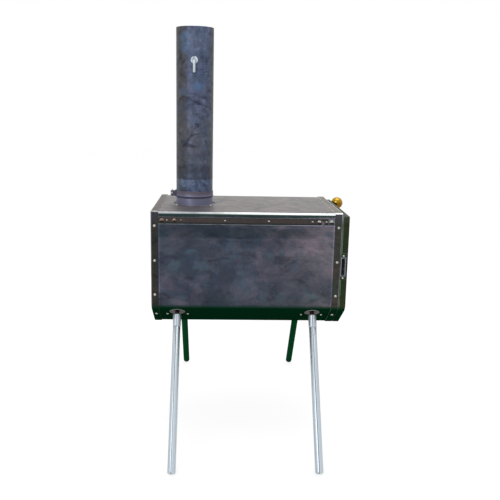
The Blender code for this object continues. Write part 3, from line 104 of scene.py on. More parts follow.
# Door end
FRAME_BACK = LENGTH + GAP
FRAME_DEPTH = 0.018
FRAME_DROP = 0.009
FRAME_LIP = 0.009
FRAME_RIVETS = (-0.048, -0.249)
FRAME_TOP_RIVET = 0.5
FRAME_BOTTOM_RIVET = 0.6
MOUTH_WIDTH = 0.251
MOUTH_LOW = -0.243
MOUTH_HIGH = -0.048
MOUTH_CORNER = 0.012
STRIKE_X = LENGTH + 0.0067
STRIKE_Z = -0.1455
STRIKE_SIZE = (0.013, 0.074)
STRIKE_SHEET = 0.001
STRIKE_RIVET_STEP = 0.0305
STRIKE_RIM_SIZE = (0.0140, 0.052)
STRIKE_RIM_RISE = 0.0004
SLOT_SIZE = (0.0082, 0.043)
SLOT_MARGIN = 0.001

# Flue
FLUE = Vector((0.109, 0.0, 0.0))
FLUE_RADIUS = 0.0515
FLUE_WALL = 0.001
FLUE_TOP = 0.478
FLUE_HOLE = 0.0595
SEAM_TURN = math.radians(100.0)
SEAM_HALF = 0.0035
SEAM_SUNK = 0.0004
SEAM_LOW = 0.040
SEAM_HIGH = FLUE_TOP - 0.0015
COLLAR_TOP = 0.0165
COLLAR_NECK = 0.058
COLLAR_FLANGE = 0.072
COLLAR_CIRCLE = 0.066
CLAMP_LOW = 0.0183
CLAMP_HIGH = 0.0343
CLAMP_SHEET = 0.0012
CLAMP_EAR = 0.015
CLAMP_EAR_GAP = 0.005
CLAMP_BEAD = 0.0062
CLAMP_SCREW_HOLE = 0.0028
CLAMP_SCREW_IN = 0.0042
DAMPER_HEIGHT = 0.3905
DAMPER_ROD = 0.0035
DAMPER_BEND = 0.006
DAMPER_OUT = 0.009
DAMPER_FAR_END = 0.0063
DAMPER_DROP = 0.034
DAMPER_WASHER = 0.0095
DAMPER_WASHER_DISH = 0.0058

# Rails
RAIL_TOP = 0.0152
RAIL_HEIGHT = 0.0195
RAIL_RIVET_DROP = 0.0094
RAIL_LIP = 0.004
RAIL_NOTCH_FROM_END = 0.052
RAIL_NOTCH_WIDTH = 0.007
RAIL_NOTCH_HEIGHT = 0.012
RAIL_CREST = 0.0012
RAIL_SCREWS = ((0.030, "washer"), (0.0435, "dome"), (0.0625, "ring"))
RAIL_RIVETS = (0.0803, 0.1961, 0.3119, 0.4277)
RAIL_TAB_SIZE = (0.0156, 0.0140)
RAIL_TAB_SHEET = 0.0007
RAIL_HEADS = {
    # profiles, as radius and height, of the heads at the ends of a rail that aren't plain domes
    "washer": ((0.0, 0.0025), (0.0018, 0.0024), (0.0030, 0.0019), (0.0032, 0.0011), (0.0058, 0.0010),
               (0.0060, 0.0), (0.0, 0.0)),
    "ring": ((0.0, 0.0016), (0.0022, 0.0016), (0.0034, 0.0025), (0.0048, 0.0019), (0.0052, 0.0), (0.0, 0.0)),
}

# Latch
LATCH_PIVOT = Vector((0.0, 0.0985, STRIKE_Z))
KNOB_CENTRE = Vector((LENGTH + 0.0385, 0.1485, -0.0165))
KNOB_BORE = 0.0048
KNOB_BORE_DEPTH = 0.010

# Legs
LEG_ENDS = (("rear", 0.068), ("front", LENGTH - 0.068))
LEG_SEAT = 0.021
LEG_RIVET_DOWN = 0.021
LEG_RIVET_SPREAD = 0.028
LEG_NECK = 0.009
LEG_BOLT = 0.006
LEG_BOLT_HEAD = 0.0105
LEG_BOLT_BACK = -0.0036
LEG_WALL = 0.0015
FERRULE_LENGTH = 0.034
FERRULE_BORE = 0.0063
SPIGOT_LENGTH = 0.030
LEG_JOINT_EDGE = 0.0014
STAND_HEIGHT = 0.6355
FOOT_ROUND = 0.004
FOOT_FLOOR = 0.004

# Camera, fitted to the photograph, with places in its pixels
CAMERA_PLACE = Vector((-0.10307, -1.90605, 0.90157))
CAMERA_YAW = 0.0395
CAMERA_PITCH = 0.2113
CAMERA_ROLL = -0.0196
CAMERA_FOCAL = 666.6883
CAMERA_MIDDLE = (244.1711, 251.5009)
IMAGE = 500
SENSOR = 36.0

# Floor and light
FLOOR_RADIUS = 14.0
FLOOR_GLOW = 0.80
WORLD_LIGHT = 0.75
LAMPS = (
    # name, place, the point it looks at, side and power in watts
    ("front_softbox", (-1.6, -2.6, 2.2), (0.0, 0.0, 0.5), 1.8, 28.0),
    ("top_softbox", (0.3, 0.3, 3.0), (0.0, 0.0, 0.6), 2.4, 30.0),
)


class StoveSizes(bpy.types.PropertyGroup):
    """Sizes of the small parts that give the stove its look."""
    rivet_radius: FloatProperty(
        name="Rivet radius", description="Radius of the domed rivet heads", default=0.0038,
        min=0.0035, max=0.005, unit="LENGTH")
    rivet_rise: FloatProperty(
        name="Rivet rise", description="Height of the domed rivet heads", default=0.0021,
        min=0.0019, max=0.003, unit="LENGTH")
    knob_radius: FloatProperty(
        name="Knob radius", description="Radius of the ball on the latch handle", default=0.018,
        min=0.016, max=0.018, unit="LENGTH")
    tube_radius: FloatProperty(
        name="Leg radius", description="Radius of the leg tubes", default=0.0105,
        min=0.010, max=0.011, unit="LENGTH")
    ferrule_radius: FloatProperty(
        name="Ferrule radius", description="Radius of the sleeve at the top of each leg", default=0.0112,
        min=0.011, max=0.012, unit="LENGTH")
    washer_radius: FloatProperty(
        name="Leg washer radius", description="Radius of the washer over each leg", default=0.0205,
        min=0.018, max=0.021, unit="LENGTH")
    bead_rise: FloatProperty(
        name="Bead rise", description="How far the rolled bead of the clamp band stands out",
        default=0.0011, min=0.0, max=0.002, unit="LENGTH")
    seam_rise: FloatProperty(
        name="Seam rise", description="How far the folded seam stands out from the pipe",
        default=0.0009, min=0.0, max=0.002, unit="LENGTH")


class StoveColours(bpy.types.PropertyGroup):
    """Base colours of the finishes, as linear values."""
    side: FloatVectorProperty(
        name="Side panel", description="Heat-blued mill scale of the firebox", subtype="COLOR",
        default=(0.072, 0.081, 0.109), min=0.0, max=1.0)
    cap: FloatVectorProperty(
        name="End caps", description="Dark brown mill scale of the caps and rails", subtype="COLOR",
        default=(0.036, 0.037, 0.033), min=0.0, max=1.0)
    plate: FloatVectorProperty(
        name="Cooking plate", description="Grey-brown scale of the cooking plate", subtype="COLOR",
        default=(0.160, 0.146, 0.144), min=0.0, max=1.0)
    pipe: FloatVectorProperty(
        name="Flue pipe", description="Dark scale of the flue pipe", subtype="COLOR",
        default=(0.072, 0.080, 0.104), min=0.0, max=1.0)
    zinc: FloatVectorProperty(
        name="Bright zinc", description="Zinc plate on the legs and the damper handle", subtype="COLOR",
        default=(0.550, 0.620, 0.660), min=0.0, max=1.0)
    fastener: FloatVectorProperty(
        name="Fasteners", description="Bright heads at the door end of the rails", subtype="COLOR",
        default=(0.600, 0.585, 0.560), min=0.0, max=1.0)
    brass: FloatVectorProperty(
        name="Brass", description="Polished ball of the latch handle", subtype="COLOR",
        default=(0.400, 0.250, 0.026), min=0.0, max=1.0)
    floor: FloatVectorProperty(
        name="Floor", description="Pale floor under the stove", subtype="COLOR",
        default=(0.26, 0.26, 0.26), min=0.0, max=1.0)


# Outlines

def band_normal_angle():
    return math.pi / 2 - BAND_ANGLE


def bottom_tangent():
    """Distance across to where the flat bottom starts."""
    alpha = band_normal_angle()
    drop = SIDE_BEND - BOTTOM_BEND + (SIDE_HEIGHT + BOTTOM_BEND - HEIGHT) * math.sin(alpha)
    return WIDTH / 2 - SIDE_BEND + drop / math.cos(alpha)


def end_corners(inset, top):
    """Sharp corners and bend radii of the firebox end, from the near top round to the far top."""
    half = WIDTH / 2 - inset
    side = SIDE_BEND - inset
    low = BOTTOM_BEND - inset
    side_z = -SIDE_HEIGHT - side * math.tan(band_normal_angle() / 2)
    foot_y = bottom_tangent() + low * math.tan(BAND_ANGLE / 2)
    foot_z = inset - HEIGHT
    crown = max(TOP_CORNER - inset, 0.0)
    near = [(-half, top), (-half, side_z), (-foot_y, foot_z)]
    far = [(foot_y, foot_z), (half, side_z), (half, top)]
    return near + far, [crown, side, low, low, side, crown]


def rectangle(width, low, high, radius):
    """Corners and corner radii of an upright rectangle about the middle line."""
    half = width / 2
    return [(-half, high), (-half, low), (half, low), (half, high)], [radius] * 4


def band_point(along, inset):
    """Point (y, z) on the far slanted band, measured down from its upper end."""
    alpha = band_normal_angle()
    y = WIDTH / 2 - SIDE_BEND + (SIDE_BEND - inset) * math.cos(alpha) - along * math.cos(BAND_ANGLE)
    z = -SIDE_HEIGHT - (SIDE_BEND - inset) * math.sin(alpha) - along * math.sin(BAND_ANGLE)
    return y, z


def band_normal(side):
    return (0.0, side * math.sin(BAND_ANGLE), -math.cos(BAND_ANGLE))


# Wear and painted edge highlights, noted on faces and read by the finishes

def face_layer(bm, name):
    return bm.faces.layers.float.get(name) or bm.faces.layers.float.new(name)


def new_mesh():
    """Empty mesh whose faces can hold wear from the start."""
    bm = bmesh.new()
    face_layer(bm, "worn")
    return bm


# The worn mark stands both for edges worn to bare metal and for painted highlights along edges.
def mark_wear_and_highlight(bm, faces, amount=1.0):
    layer = face_layer(bm, "worn")
    for face in faces:
        face[layer] = amount


def mark_under(bm, start=0.22, full=0.60):
    """Notes how far each face looks down at the ground: 0 up to start, and 1 from full on."""
    layer = face_layer(bm, "under")
    bm.normal_update()
    for face in bm.faces:
        face[layer] = min(max((-face.normal.z - start) / (full - start), 0.0), 1.0)


# Bent sheet and blocks

def long_edge(bm, corner):
    """The edge along X that stands on an outline's corner."""
    for edge in bm.edges:
        if all(abs(v.co.y - corner[0]) < 1e-6 and abs(v.co.z - corner[1]) < 1e-6 for v in edge.verts):
            return edge
    raise RuntimeError("no edge stands on this corner of the outline")


def round_edges(bm, edges, offset, steps):
    made = bmesh.ops.bevel(bm, geom=edges, offset=offset, offset_type="OFFSET", affect="EDGES",
                           segments=steps, profile=0.5, material=-1, clamp_overlap=False)
    return made["faces"]


def round_bends(bm, corners, radii, steps):
    """Rounds the long edge at each corner to its bend radius, and returns the bends' faces."""
    made = []
    for corner, radius in zip(corners, radii):
        if radius > HAIR:
            edge = long_edge(bm, corner)
            made += round_edges(bm, [edge], radius * math.tan(edge.calc_face_angle() / 2), steps)
    return made


def pull_end(bm, extruded, length):
    """Moves the new end of an extrusion along X."""
    far = [item for item in extruded["geom"] if isinstance(item, bmesh.types.BMVert)]
    bmesh.ops.translate(bm, verts=far, vec=(length, 0.0, 0.0))
    bmesh.ops.recalc_face_normals(bm, faces=bm.faces)


def prism(corners, radii, x0, x1, steps=10):
    """Solid whose ends are the outline, with rounded long edges."""
    bm = new_mesh()
    face = bm.faces.new([bm.verts.new((x0, y, z)) for y, z in corners])
    pull_end(bm, bmesh.ops.extrude_face_region(bm, geom=[face]), x1 - x0)
    round_bends(bm, corners, radii, steps)
    return bm


def open_sheet(corners, radii, steps):
    """Open run of sheet between the end caps, faces outwards; returned with the faces of its bends."""
    bm = new_mesh()
    verts = [bm.verts.new((UNDER_CAP, y, z)) for y, z in corners]
    edges = [bm.edges.new(pair) for pair in zip(verts, verts[1:])]
    pull_end(bm, bmesh.ops.extrude_edge_only(bm, edges=edges), LENGTH - 2 * UNDER_CAP)
    bm.normal_update()
    middle = Vector((0.0, 0.0, -HEIGHT / 2))
    if sum(face.normal.dot(face.calc_center_median() - middle) for face in bm.faces) < 0:
        bmesh.ops.reverse_faces(bm, faces=bm.faces)
    return bm, round_bends(bm, corners, radii, steps)


def flat_faces(bm, x):
    """Faces that lie in the plane at x."""
    return [face for face in bm.faces if all(abs(v.co.x - x) < 1e-5 for v in face.verts)]


def pan(corners, radii, closed_x, open_x):
    """Shallow pan, closed at closed_x, whose rim there is rounded, worn and given a painted highlight."""
    bm = prism(corners, radii, closed_x, open_x)
    bmesh.ops.delete(bm, geom=flat_faces(bm, open_x), context="FACES_ONLY")
    rim = [edge for face in flat_faces(bm, closed_x) for edge in face.edges]
    mark_wear_and_highlight(bm, round_edges(bm, rim, RIM_ROUND, 4), WEAR_AND_HIGHLIGHT["pan rim"])
    return bm


def block(low, high, bevel=0.0):
    """Box between two corners, with its edges eased, worn and given a painted highlight when bevel is given.
    """
    bm = new_mesh()
    size = [abs(b - a) for a, b in zip(low, high)]
    centre = (Vector(low) + Vector(high)) / 2
    matrix = Matrix.Translation(centre) @ Matrix.Diagonal((*size, 1.0))
    bmesh.ops.create_cube(bm, size=1.0, matrix=matrix)
    if bevel:
        mark_wear_and_highlight(bm, round_edges(bm, bm.edges[:], bevel, 2))
    return bm


def side_block(side, inner, outer, x, z, size, bevel=0.0):
    """Box on one side of the stove, between two distances from the middle line and about x and z."""
    low, high = sorted((side * inner, side * outer))
    wide, tall = size
    return block((x - wide / 2, low, z - tall / 2), (x + wide / 2, high, z + tall / 2), bevel)


def join(bm, other):
    """Adds another mesh to bm."""
    mesh = bpy.data.meshes.new("joined")
    other.to_mesh(mesh)
    other.free()
    bm.from_mesh(mesh)
    bpy.data.meshes.remove(mesh)


def work_object(bm, name):
    mesh = bpy.data.meshes.new(name)
    mesh.materials.append(None)
    mesh.materials.append(None)
    bm.to_mesh(mesh)
    bm.free()
    piece = bpy.data.objects.new(name, mesh)
    bpy.context.scene.collection.objects.link(piece)
    return piece


def baked(bm, thickness=0.0, tools=()):
    """Gives an open sheet its thickness inwards, then cuts the tools out of it."""
    piece = work_object(bm, "blank")
    if thickness:
        wall = piece.modifiers.new("wall", "SOLIDIFY")
        wall.thickness = thickness
        wall.offset = -1.0
        wall.use_even_offset = True
        wall.material_offset = 1
    cutters = [work_object(tool, "cutter") for tool in tools]
    for cutter in cutters:
        cut = piece.modifiers.new("cut", "BOOLEAN")
        cut.operation = "DIFFERENCE"
        cut.solver = "EXACT"
        cut.object = cutter
    bpy.context.view_layer.update()
    result = bmesh.new()
    result.from_object(piece, bpy.context.evaluated_depsgraph_get())
    for item in [piece] + cutters:
        mesh = item.data
        bpy.data.objects.remove(item)
        bpy.data.meshes.remove(mesh)
    if not result.faces:
        raise RuntimeError("a cut left nothing of the piece")
    return result


# Round pieces

def frame_at(point, normal):
    """Matrix with its origin at point and its Z axis along normal."""
    turn = Vector(normal).to_track_quat("Z", "Y").to_matrix().to_4x4()
    return Matrix.Translation(point) @ turn


def add_turned(bm, profile, sides, matrix, closed=False):
    """Turns a profile of (radius, height) round local Z, and notes each point's place on its own axis."""
    own = bm.verts.layers.float_vector.get("own_place") or bm.verts.layers.float_vector.new("own_place")
    before = set(bm.verts)
    verts = [bm.verts.new((radius, 0.0, height)) for radius, height in profile]
    pairs = list(zip(verts, verts[1:]))
    if closed:
        pairs.append((verts[-1], verts[0]))
    edges = [bm.edges.new(pair) for pair in pairs]
    bmesh.ops.spin(bm, geom=verts + edges, cent=(0, 0, 0), axis=(0, 0, 1), angle=2 * math.pi,
                   steps=sides, use_merge=True)
    made = [vert for vert in bm.verts if vert not in before]
    bmesh.ops.remove_doubles(bm, verts=made, dist=1e-6)
    made = [vert for vert in bm.verts if vert not in before]
    for vert in made:
        vert[own] = vert.co
    faces = list({face for vert in made for face in vert.link_faces})
    bmesh.ops.recalc_face_normals(bm, faces=faces)
    bmesh.ops.transform(bm, matrix=matrix, verts=made)


def turned(profile, sides, matrix, closed=False):
    bm = new_mesh()
    add_turned(bm, profile, sides, matrix, closed)
    return bm


def drill(radius, low, high, sides, matrix):
    """Round cutter between two heights on its own axis."""
    return turned(((0.0, low), (radius, low), (radius, high), (0.0, high)), sides, matrix)


def arc(centre, radius, start, end, steps):
    """Points round a centre from one angle to another, the first one left out."""
    points = []
    for step in range(1, steps + 1):
        angle = start + (end - start) * step / steps
        points.append((centre[0] + radius * math.cos(angle), centre[1] + radius * math.sin(angle)))
    return points


def dome_profile(radius, rise, steps=6):
    """Half of a low dome from its crown down, closed underneath."""
    points = [(0.0, rise)]
    for step in range(1, steps + 1):
        angle = math.pi / 2 * step / steps
        points.append((radius * math.sin(angle), rise * math.cos(angle)))
    return points + [(radius, -GAP / 2), (0.0, -GAP / 2)]


def domes(places, radius, rise):
    """Domed rivet heads, each at its own point and along its own normal."""
    bm = bmesh.new()
    for point, normal in places:
        add_turned(bm, dome_profile(radius, rise), HEAD_SIDES, frame_at(point, normal))
    return bm


def swept(path, radius):
    """Round rod along a path of points, with a rounded end."""
    bm = new_mesh()
    ahead = (path[-1] - path[-2]).normalized()
    stations = [(point, path[min(k + 1, len(path) - 1)] - path[max(k - 1, 0)], radius)
                for k, point in enumerate(path)]
    for share in ROD_END:
        stations.append((path[-1] + ahead * radius * share, ahead, radius * math.sqrt(1 - share * share)))
    rings = []
    for point, along, size in stations:
        circle = bmesh.ops.create_circle(bm, segments=HEAD_SIDES, radius=size, matrix=frame_at(point, along))
        rings.append(circle["verts"])
    for pair in zip(rings, rings[1:]):
        loops = []
        for ring in map(set, pair):
            loops += [edge for edge in bm.edges if edge.verts[0] in ring and edge.verts[1] in ring]
        bmesh.ops.bridge_loops(bm, edges=loops)
    bmesh.ops.holes_fill(bm, edges=bm.edges, sides=HEAD_SIDES)
    bmesh.ops.recalc_face_normals(bm, faces=bm.faces)
    return bm


# Pieces in the model

def placed(name, bm, body, slot, finishes, *stands_for, sharp=30.0, moved=True):
    """Puts a mesh into the model, riding on its body and standing for its CAD nodes."""
    if moved:
        bmesh.ops.translate(bm, verts=bm.verts, vec=PLACE)
    mark_under(bm)
    mesh = bpy.data.meshes.new(name)
    bm.to_mesh(mesh)
    bm.free()
    mesh.shade_smooth()
    mesh.set_sharp_from_angle(angle=math.radians(sharp))
    mesh.materials.clear()
    for look in finishes:
        mesh.materials.append(finish(look))
    piece = bpy.data.objects.new(name, mesh)
    bpy.context.scene.collection.objects.link(piece)
    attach(piece, body)
    if stands_for:
        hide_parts(*stands_for)


def smooth_copy(node, name, body, slot, look):
    """The node's own shape with its loose triangles merged, so that it shades smoothly."""
    bm = bmesh.new()
    bm.from_mesh(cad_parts[node].data)
    bmesh.ops.remove_doubles(bm, verts=bm.verts, dist=1e-5)
    placed(name, bm, body, slot, (look,), node, sharp=35.0, moved=False)


def fastener_copy(node, name, body):
    smooth_copy(node, name, body, "dull_zinc", "dull_zinc")


def rivets(name, places, size):
    """Domed heads of one radius and rise, as one piece on the stove's body."""
    placed(name, domes(places, *size), "stove", "dull_zinc", ("dull_zinc",))


def carry(node, look):
    """Gives a CAD node a finish."""
    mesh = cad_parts[node].data
    mesh.materials.clear()
    mesh.materials.append(finish(look))


# Nodes of the finishes

COLOUR, VALUE, VECTOR = "NodeSocketColor", "NodeSocketFloat", "NodeSocketVector"


def feed(tree, item, inputs):
    """Links a node's inputs to the sockets given, and sets them to the numbers and colours given."""
    for key, value in inputs.items():
        socket = item.inputs[key]
        if isinstance(value, bpy.types.NodeSocket):
            tree.links.new(value, socket)
        elif isinstance(value, (int, float)):
            socket.default_value = value
        else:
            socket.default_value = (*value, 1.0)[:len(socket.default_value)]


def add_node(tree, kind, inputs, **settings):
    item = tree.nodes.new(kind)
    for key, value in settings.items():
        setattr(item, key, value)
    feed(tree, item, inputs)
    return item


def attribute(tree, name, output="Fac"):
    return add_node(tree, "ShaderNodeAttribute", {}, attribute_name=name).outputs[output]


def noise(tree, vector, scale, detail=4.0, roughness=0.55, distortion=0.0):
    inputs = {"Vector": vector, "Scale": scale, "Detail": detail, "Roughness": roughness,
              "Distortion": distortion}
    return add_node(tree, "ShaderNodeTexNoise", inputs).outputs["Fac"]


def stretched(tree, vector, scale, place=(0, 0, 0)):
    return add_node(tree, "ShaderNodeMapping",
                    {"Vector": vector, "Scale": scale, "Location": place}).outputs["Vector"]


def ranged(tree, value, low, high, to_low=0.0, to_high=1.0, kind="SMOOTHSTEP"):
    """Takes low to to_low and high to to_high, held beyond both; low may be the larger."""
    inputs = {"Value": value, "From Min": low, "From Max": high, "To Min": to_low, "To Max": to_high}
    return add_node(tree, "ShaderNodeMapRange", inputs, interpolation_type=kind).outputs["Result"]


def spread(tree, value, low, high, to_low, to_high):
    """Like ranged, in a straight line."""
    return ranged(tree, value, low, high, to_low, to_high, "LINEAR")


def combined(tree, operation, one, other):
    return add_node(tree, "ShaderNodeMath", {0: one, 1: other}, operation=operation).outputs["Value"]


def times(tree, product, *factors):
    for factor in factors:
        product = combined(tree, "MULTIPLY", product, factor)
    return product


def scaled(tree, vector, amount):
    """A place or a colour times a number."""
    return add_node(tree, "ShaderNodeVectorMath", {0: vector, "Scale": amount},
                    operation="SCALE").outputs["Vector"]


def mixed(tree, mask, one, other, blend="MIX"):
    """Mixes two colours; each is a socket or a colour."""
    return add_node(tree, "ShaderNodeMix", {0: mask, 6: one, 7: other}, data_type="RGBA",
                    blend_type=blend).outputs[2]


def shaded(tree, mask, tone, tint):
    """The tone times the tint, where the mask is 1."""
    return mixed(tree, mask, tone, tint, "MULTIPLY")


def ramp(tree, place, axis, start, full):
    """0 up to start and 1 from full on, along one axis; full may be the smaller."""
    split = add_node(tree, "ShaderNodeSeparateXYZ", {"Vector": place})
    return ranged(tree, split.outputs[axis], start, full)


def zoned(tree, place, tone, zones):
    """Tints the zones of a finish; each row holds axis, start, full, strength and tint."""
    for axis, start, full, strength, tint in zones:
        tone = shaded(tree, times(tree, ramp(tree, place, axis, start, full), strength), tone, tint)
    return tone


def blotched(tree, place, tone, colour, ragged, blots, roughened=2.6, border=(2.15, 1.45)):
    """Paints patches with a ragged border; each row holds middle, reach and strength."""
    for middle, reach, strength in blots:
        away = stretched(tree, place, [1 / size for size in reach],
                         [-part / size for part, size in zip(middle, reach)])
        length = add_node(tree, "ShaderNodeVectorMath", {0: away}, operation="LENGTH").outputs["Value"]
        mask = ranged(tree, combined(tree, "ADD", length, times(tree, ragged, roughened)), *border)
        tone = mixed(tree, times(tree, mask, strength), tone, colour)
    return tone


def bumped(tree, height, distance, strength=0.5):
    inputs = {"Height": height, "Strength": strength, "Distance": distance}
    return add_node(tree, "ShaderNodeBump", inputs).outputs["Normal"]


def tinted(colour, factors):
    return tuple(min(part * factor, 1.0) for part, factor in zip(colour, factors))


# Node groups: effects shared by several finishes

def new_group(name, inputs, outputs):
    group = bpy.data.node_groups.new(name, "ShaderNodeTree")
    for label, kind, value in inputs:
        socket = group.interface.new_socket(name=label, in_out="INPUT", socket_type=kind)
        if value is not None:
            socket.default_value = value
    for label, kind in outputs:
        group.interface.new_socket(name=label, in_out="OUTPUT", socket_type=kind)
    return group, group.nodes.new("NodeGroupInput").outputs, group.nodes.new("NodeGroupOutput")


def mill_scale():
    """Mottled mill scale: heat-blue and pinkish clouds, pale spots, dark stains and fine grain."""
    group, given, result = new_group(
        "Mill scale",
        (("Vector", VECTOR, None), ("Base", COLOUR, (0.1, 0.1, 0.1, 1.0)),
         ("Blue", COLOUR, (0.05, 0.09, 0.16, 1.0)), ("Pink", COLOUR, (0.16, 0.12, 0.13, 1.0)),
         ("Stain", COLOUR, (0.03, 0.03, 0.03, 1.0)), ("Blue amount", VALUE, 0.5),
         ("Pink amount", VALUE, 0.5), ("Stain amount", VALUE, 0.5), ("Cloud scale", VALUE, 6.0)),
        (("Color", COLOUR), ("Roughness", VALUE), ("Height", VALUE)))
    place = given["Vector"]
    wide = scaled(group, place, given["Cloud scale"])
    clouds = noise(group, wide, 1.0, 5.0, 0.58, 0.6)
    patches = noise(group, stretched(group, wide, (2.3, 2.3, 2.3), (3.1, 1.7, 5.2)), 1.0, 6.0, 0.62, 0.9)
    stains = noise(group, stretched(group, wide, (1.3, 1.3, 2.6), (7.4, 2.2, 0.4)), 1.0, 7.0, 0.66, 1.2)
    spots = add_node(group, "ShaderNodeTexVoronoi",
                     {"Vector": wide, "Scale": 3.4, "Smoothness": 0.7, "Randomness": 1.0},
                     feature="SMOOTH_F1").outputs["Distance"]
    rolled = noise(group, stretched(group, place, (2.5, 2.5, 60.0)), 1.0, 3.0, 0.5)
    grain = noise(group, place, 420.0, 3.0, 0.6)
    speckle = noise(group, place, 95.0, 5.0, 0.7)
    tone = given["Base"]
    for mask, amount, colour in (
            (ranged(group, clouds, 0.46, 0.64), "Pink amount", "Pink"),
            (ranged(group, patches, 0.50, 0.68), "Blue amount", "Blue"),
            (ranged(group, spots, 0.34, 0.10, 0.0, 0.30), "Pink amount", "Pink"),
            (ranged(group, stains, 0.50, 0.70), "Stain amount", "Stain")):
        tone = mixed(group, times(group, mask, given[amount]), tone, given[colour])
    shade = times(group, spread(group, grain, 0.30, 0.70, 0.86, 1.12),
                  spread(group, speckle, 0.30, 0.70, 0.88, 1.12),
                  spread(group, rolled, 0.35, 0.65, 0.95, 1.05))
    feed(group, result, {
        "Color": scaled(group, tone, shade),
        "Roughness": times(group, spread(group, patches, 0.35, 0.65, 0.40, 0.54),
                           spread(group, speckle, 0.3, 0.7, 0.92, 1.08)),
        "Height": combined(group, "ADD", times(group, grain, 0.6), times(group, speckle, 0.4))})


def edge_wear_and_highlight():
    """Bare steel where the worn attribute is set, broken up along the edge: wear, and a painted highlight on
    the edge.
    """
    group, given, result = new_group(
        "Edge wear and highlight",
        (("Vector", VECTOR, None), ("Color", COLOUR, (0.1, 0.1, 0.1, 1.0)),
         ("Bare", COLOUR, (0.4, 0.42, 0.44, 1.0)), ("Mask", VALUE, 0.0), ("Amount", VALUE, 0.6)),
        (("Color", COLOUR), ("Mask", VALUE)))
    broken = ranged(group, noise(group, given["Vector"], 38.0, 5.0, 0.65), 0.28, 0.60, 0.45, 1.0)
    mask = times(group, given["Mask"], broken, given["Amount"])
    feed(group, result, {"Color": mixed(group, mask, given["Color"], given["Bare"]), "Mask": mask})


def drawn_tube():
    """Long streaks running along the piece's own axis, partly streaks of drawn and plated tube and partly
    painted reflection, and one dark line.
    """
    group, given, result = new_group(
        "Drawn tube",
        (("Vector", VECTOR, None), ("Base", COLOUR, (0.6, 0.6, 0.6, 1.0)),
         ("Dark", COLOUR, (0.2, 0.2, 0.25, 1.0)), ("Amount", VALUE, 0.6)),
        (("Color", COLOUR), ("Roughness", VALUE)))
    place = given["Vector"]
    broad = noise(group, stretched(group, place, (230.0, 230.0, 0.25)), 1.0, 2.0, 0.5)
    fine = noise(group, stretched(group, place, (420.0, 420.0, 2.0), (3.0, 1.0, 4.0)), 1.0, 4.0, 0.6)
    line = times(group, ramp(group, place, "X", -0.0026, -0.0016), ramp(group, place, "X", 0.0002, -0.0006))
    tone = given["Base"]
    # the broad streaks are partly plating streaks and partly painted reflection
    for mask in (ranged(group, broad, 0.52, 0.62, 0.0, 0.55), line):
        tone = mixed(group, times(group, mask, given["Amount"]), tone, given["Dark"])
    feed(group, result, {"Color": scaled(group, tone, spread(group, fine, 0.3, 0.7, 0.90, 1.08)),
                         "Roughness": spread(group, fine, 0.3, 0.7, 0.32, 0.44)})


GROUPS = {"Mill scale": mill_scale, "Edge wear and highlight": edge_wear_and_highlight, "Drawn tube": drawn_tube}


def place_group(tree, name, inputs):
    """Places a shared node group, made once, with its own values."""
    if name not in bpy.data.node_groups:
        GROUPS[name]()
    item = tree.nodes.new("ShaderNodeGroup")
    item.node_tree = bpy.data.node_groups[name]
    feed(tree, item, inputs)
    return item.outputs


# Finishes

SCALE_LOOKS = {
    # name: blue, pink and stain colours as factors of the base, and on the next line their amounts,
    # the cloud scale, metallic and how much wear and painted edge highlight shows on the edges
    "heat_blued": ((0.86, 1.20, 1.30), (1.85, 1.50, 1.50), (0.44, 0.46, 0.50),
                   0.70, 0.75, 0.75, 9.0, 0.80, 0.50),
    "cap_scale": ((0.70, 0.90, 1.35), (1.60, 1.15, 1.15), (0.35, 0.35, 0.40),
                  0.35, 0.60, 0.50, 15.0, 0.75, 0.62),
    "plate_scale": ((0.72, 0.85, 1.05), (1.25, 1.12, 1.10), (0.62, 0.60, 0.60),
                    0.45, 0.60, 0.40, 12.0, 0.75, 0.50),
    "rail_scale": ((0.70, 0.90, 1.35), (1.60, 1.15, 1.15), (0.45, 0.45, 0.50),
                   0.25, 0.40, 0.40, 15.0, 0.75, 0.62),
    "dark_steel": ((0.70, 0.90, 1.35), (1.80, 1.15, 1.15), (0.45, 0.40, 0.40),
                   0.20, 0.80, 0.50, 40.0, 0.80, 0.40),
    "pipe_scale": ((0.72, 1.05, 1.40), (1.30, 1.12, 1.08), (0.34, 0.32, 0.38),
                   0.40, 0.60, 0.85, 13.0, 0.80, 0.60),
}
# bare steel of worn edges, which also paints the highlights along edges
BARE_AND_HIGHLIGHT = (0.60, 0.66, 0.70)
# painted shade and ground reflection, dark green, on faces that look down
UNDERSIDE_PAINTED_SHADE = (0.0030, 0.0480, 0.0170)
# painted shade and reflection on the inner side of the legs
INNER_PAINTED_SHADE = (0.0075, 0.1050, 0.0330)
BEND_PAINTED_HIGHLIGHT = (0.92, 0.96, 0.97)
FLANGE_PAINTED_REFLECTION = (0.014, 0.040, 0.034)
LILAC_PAINTED_HIGHLIGHT = (0.50, 0.48, 0.66)
REAR_BRONZE = ((0.140, 0.095, 0.078), (0.420, 0.310, 0.260))
FRONT_GREY = (0.300, 0.320, 0.290)
HEAD_SHADE = (0.018, 0.014, 0.012)
SOOT = ((0.008, 0.008, 0.008), (0.030, 0.028, 0.027))
ZINC_STREAKS_AND_REFLECTION = (0.10, 0.11, 0.17)
PIPE_AXIS = PLACE.x + FLUE.x
RAIL_STRIPE = PLACE.z - RAIL_TOP - RAIL_RIVET_DROP
REAR_FLANGE = PLACE.x + CAP_FLANGE
FRONT_FLANGE = PLACE.x + LENGTH - CAP_FLANGE

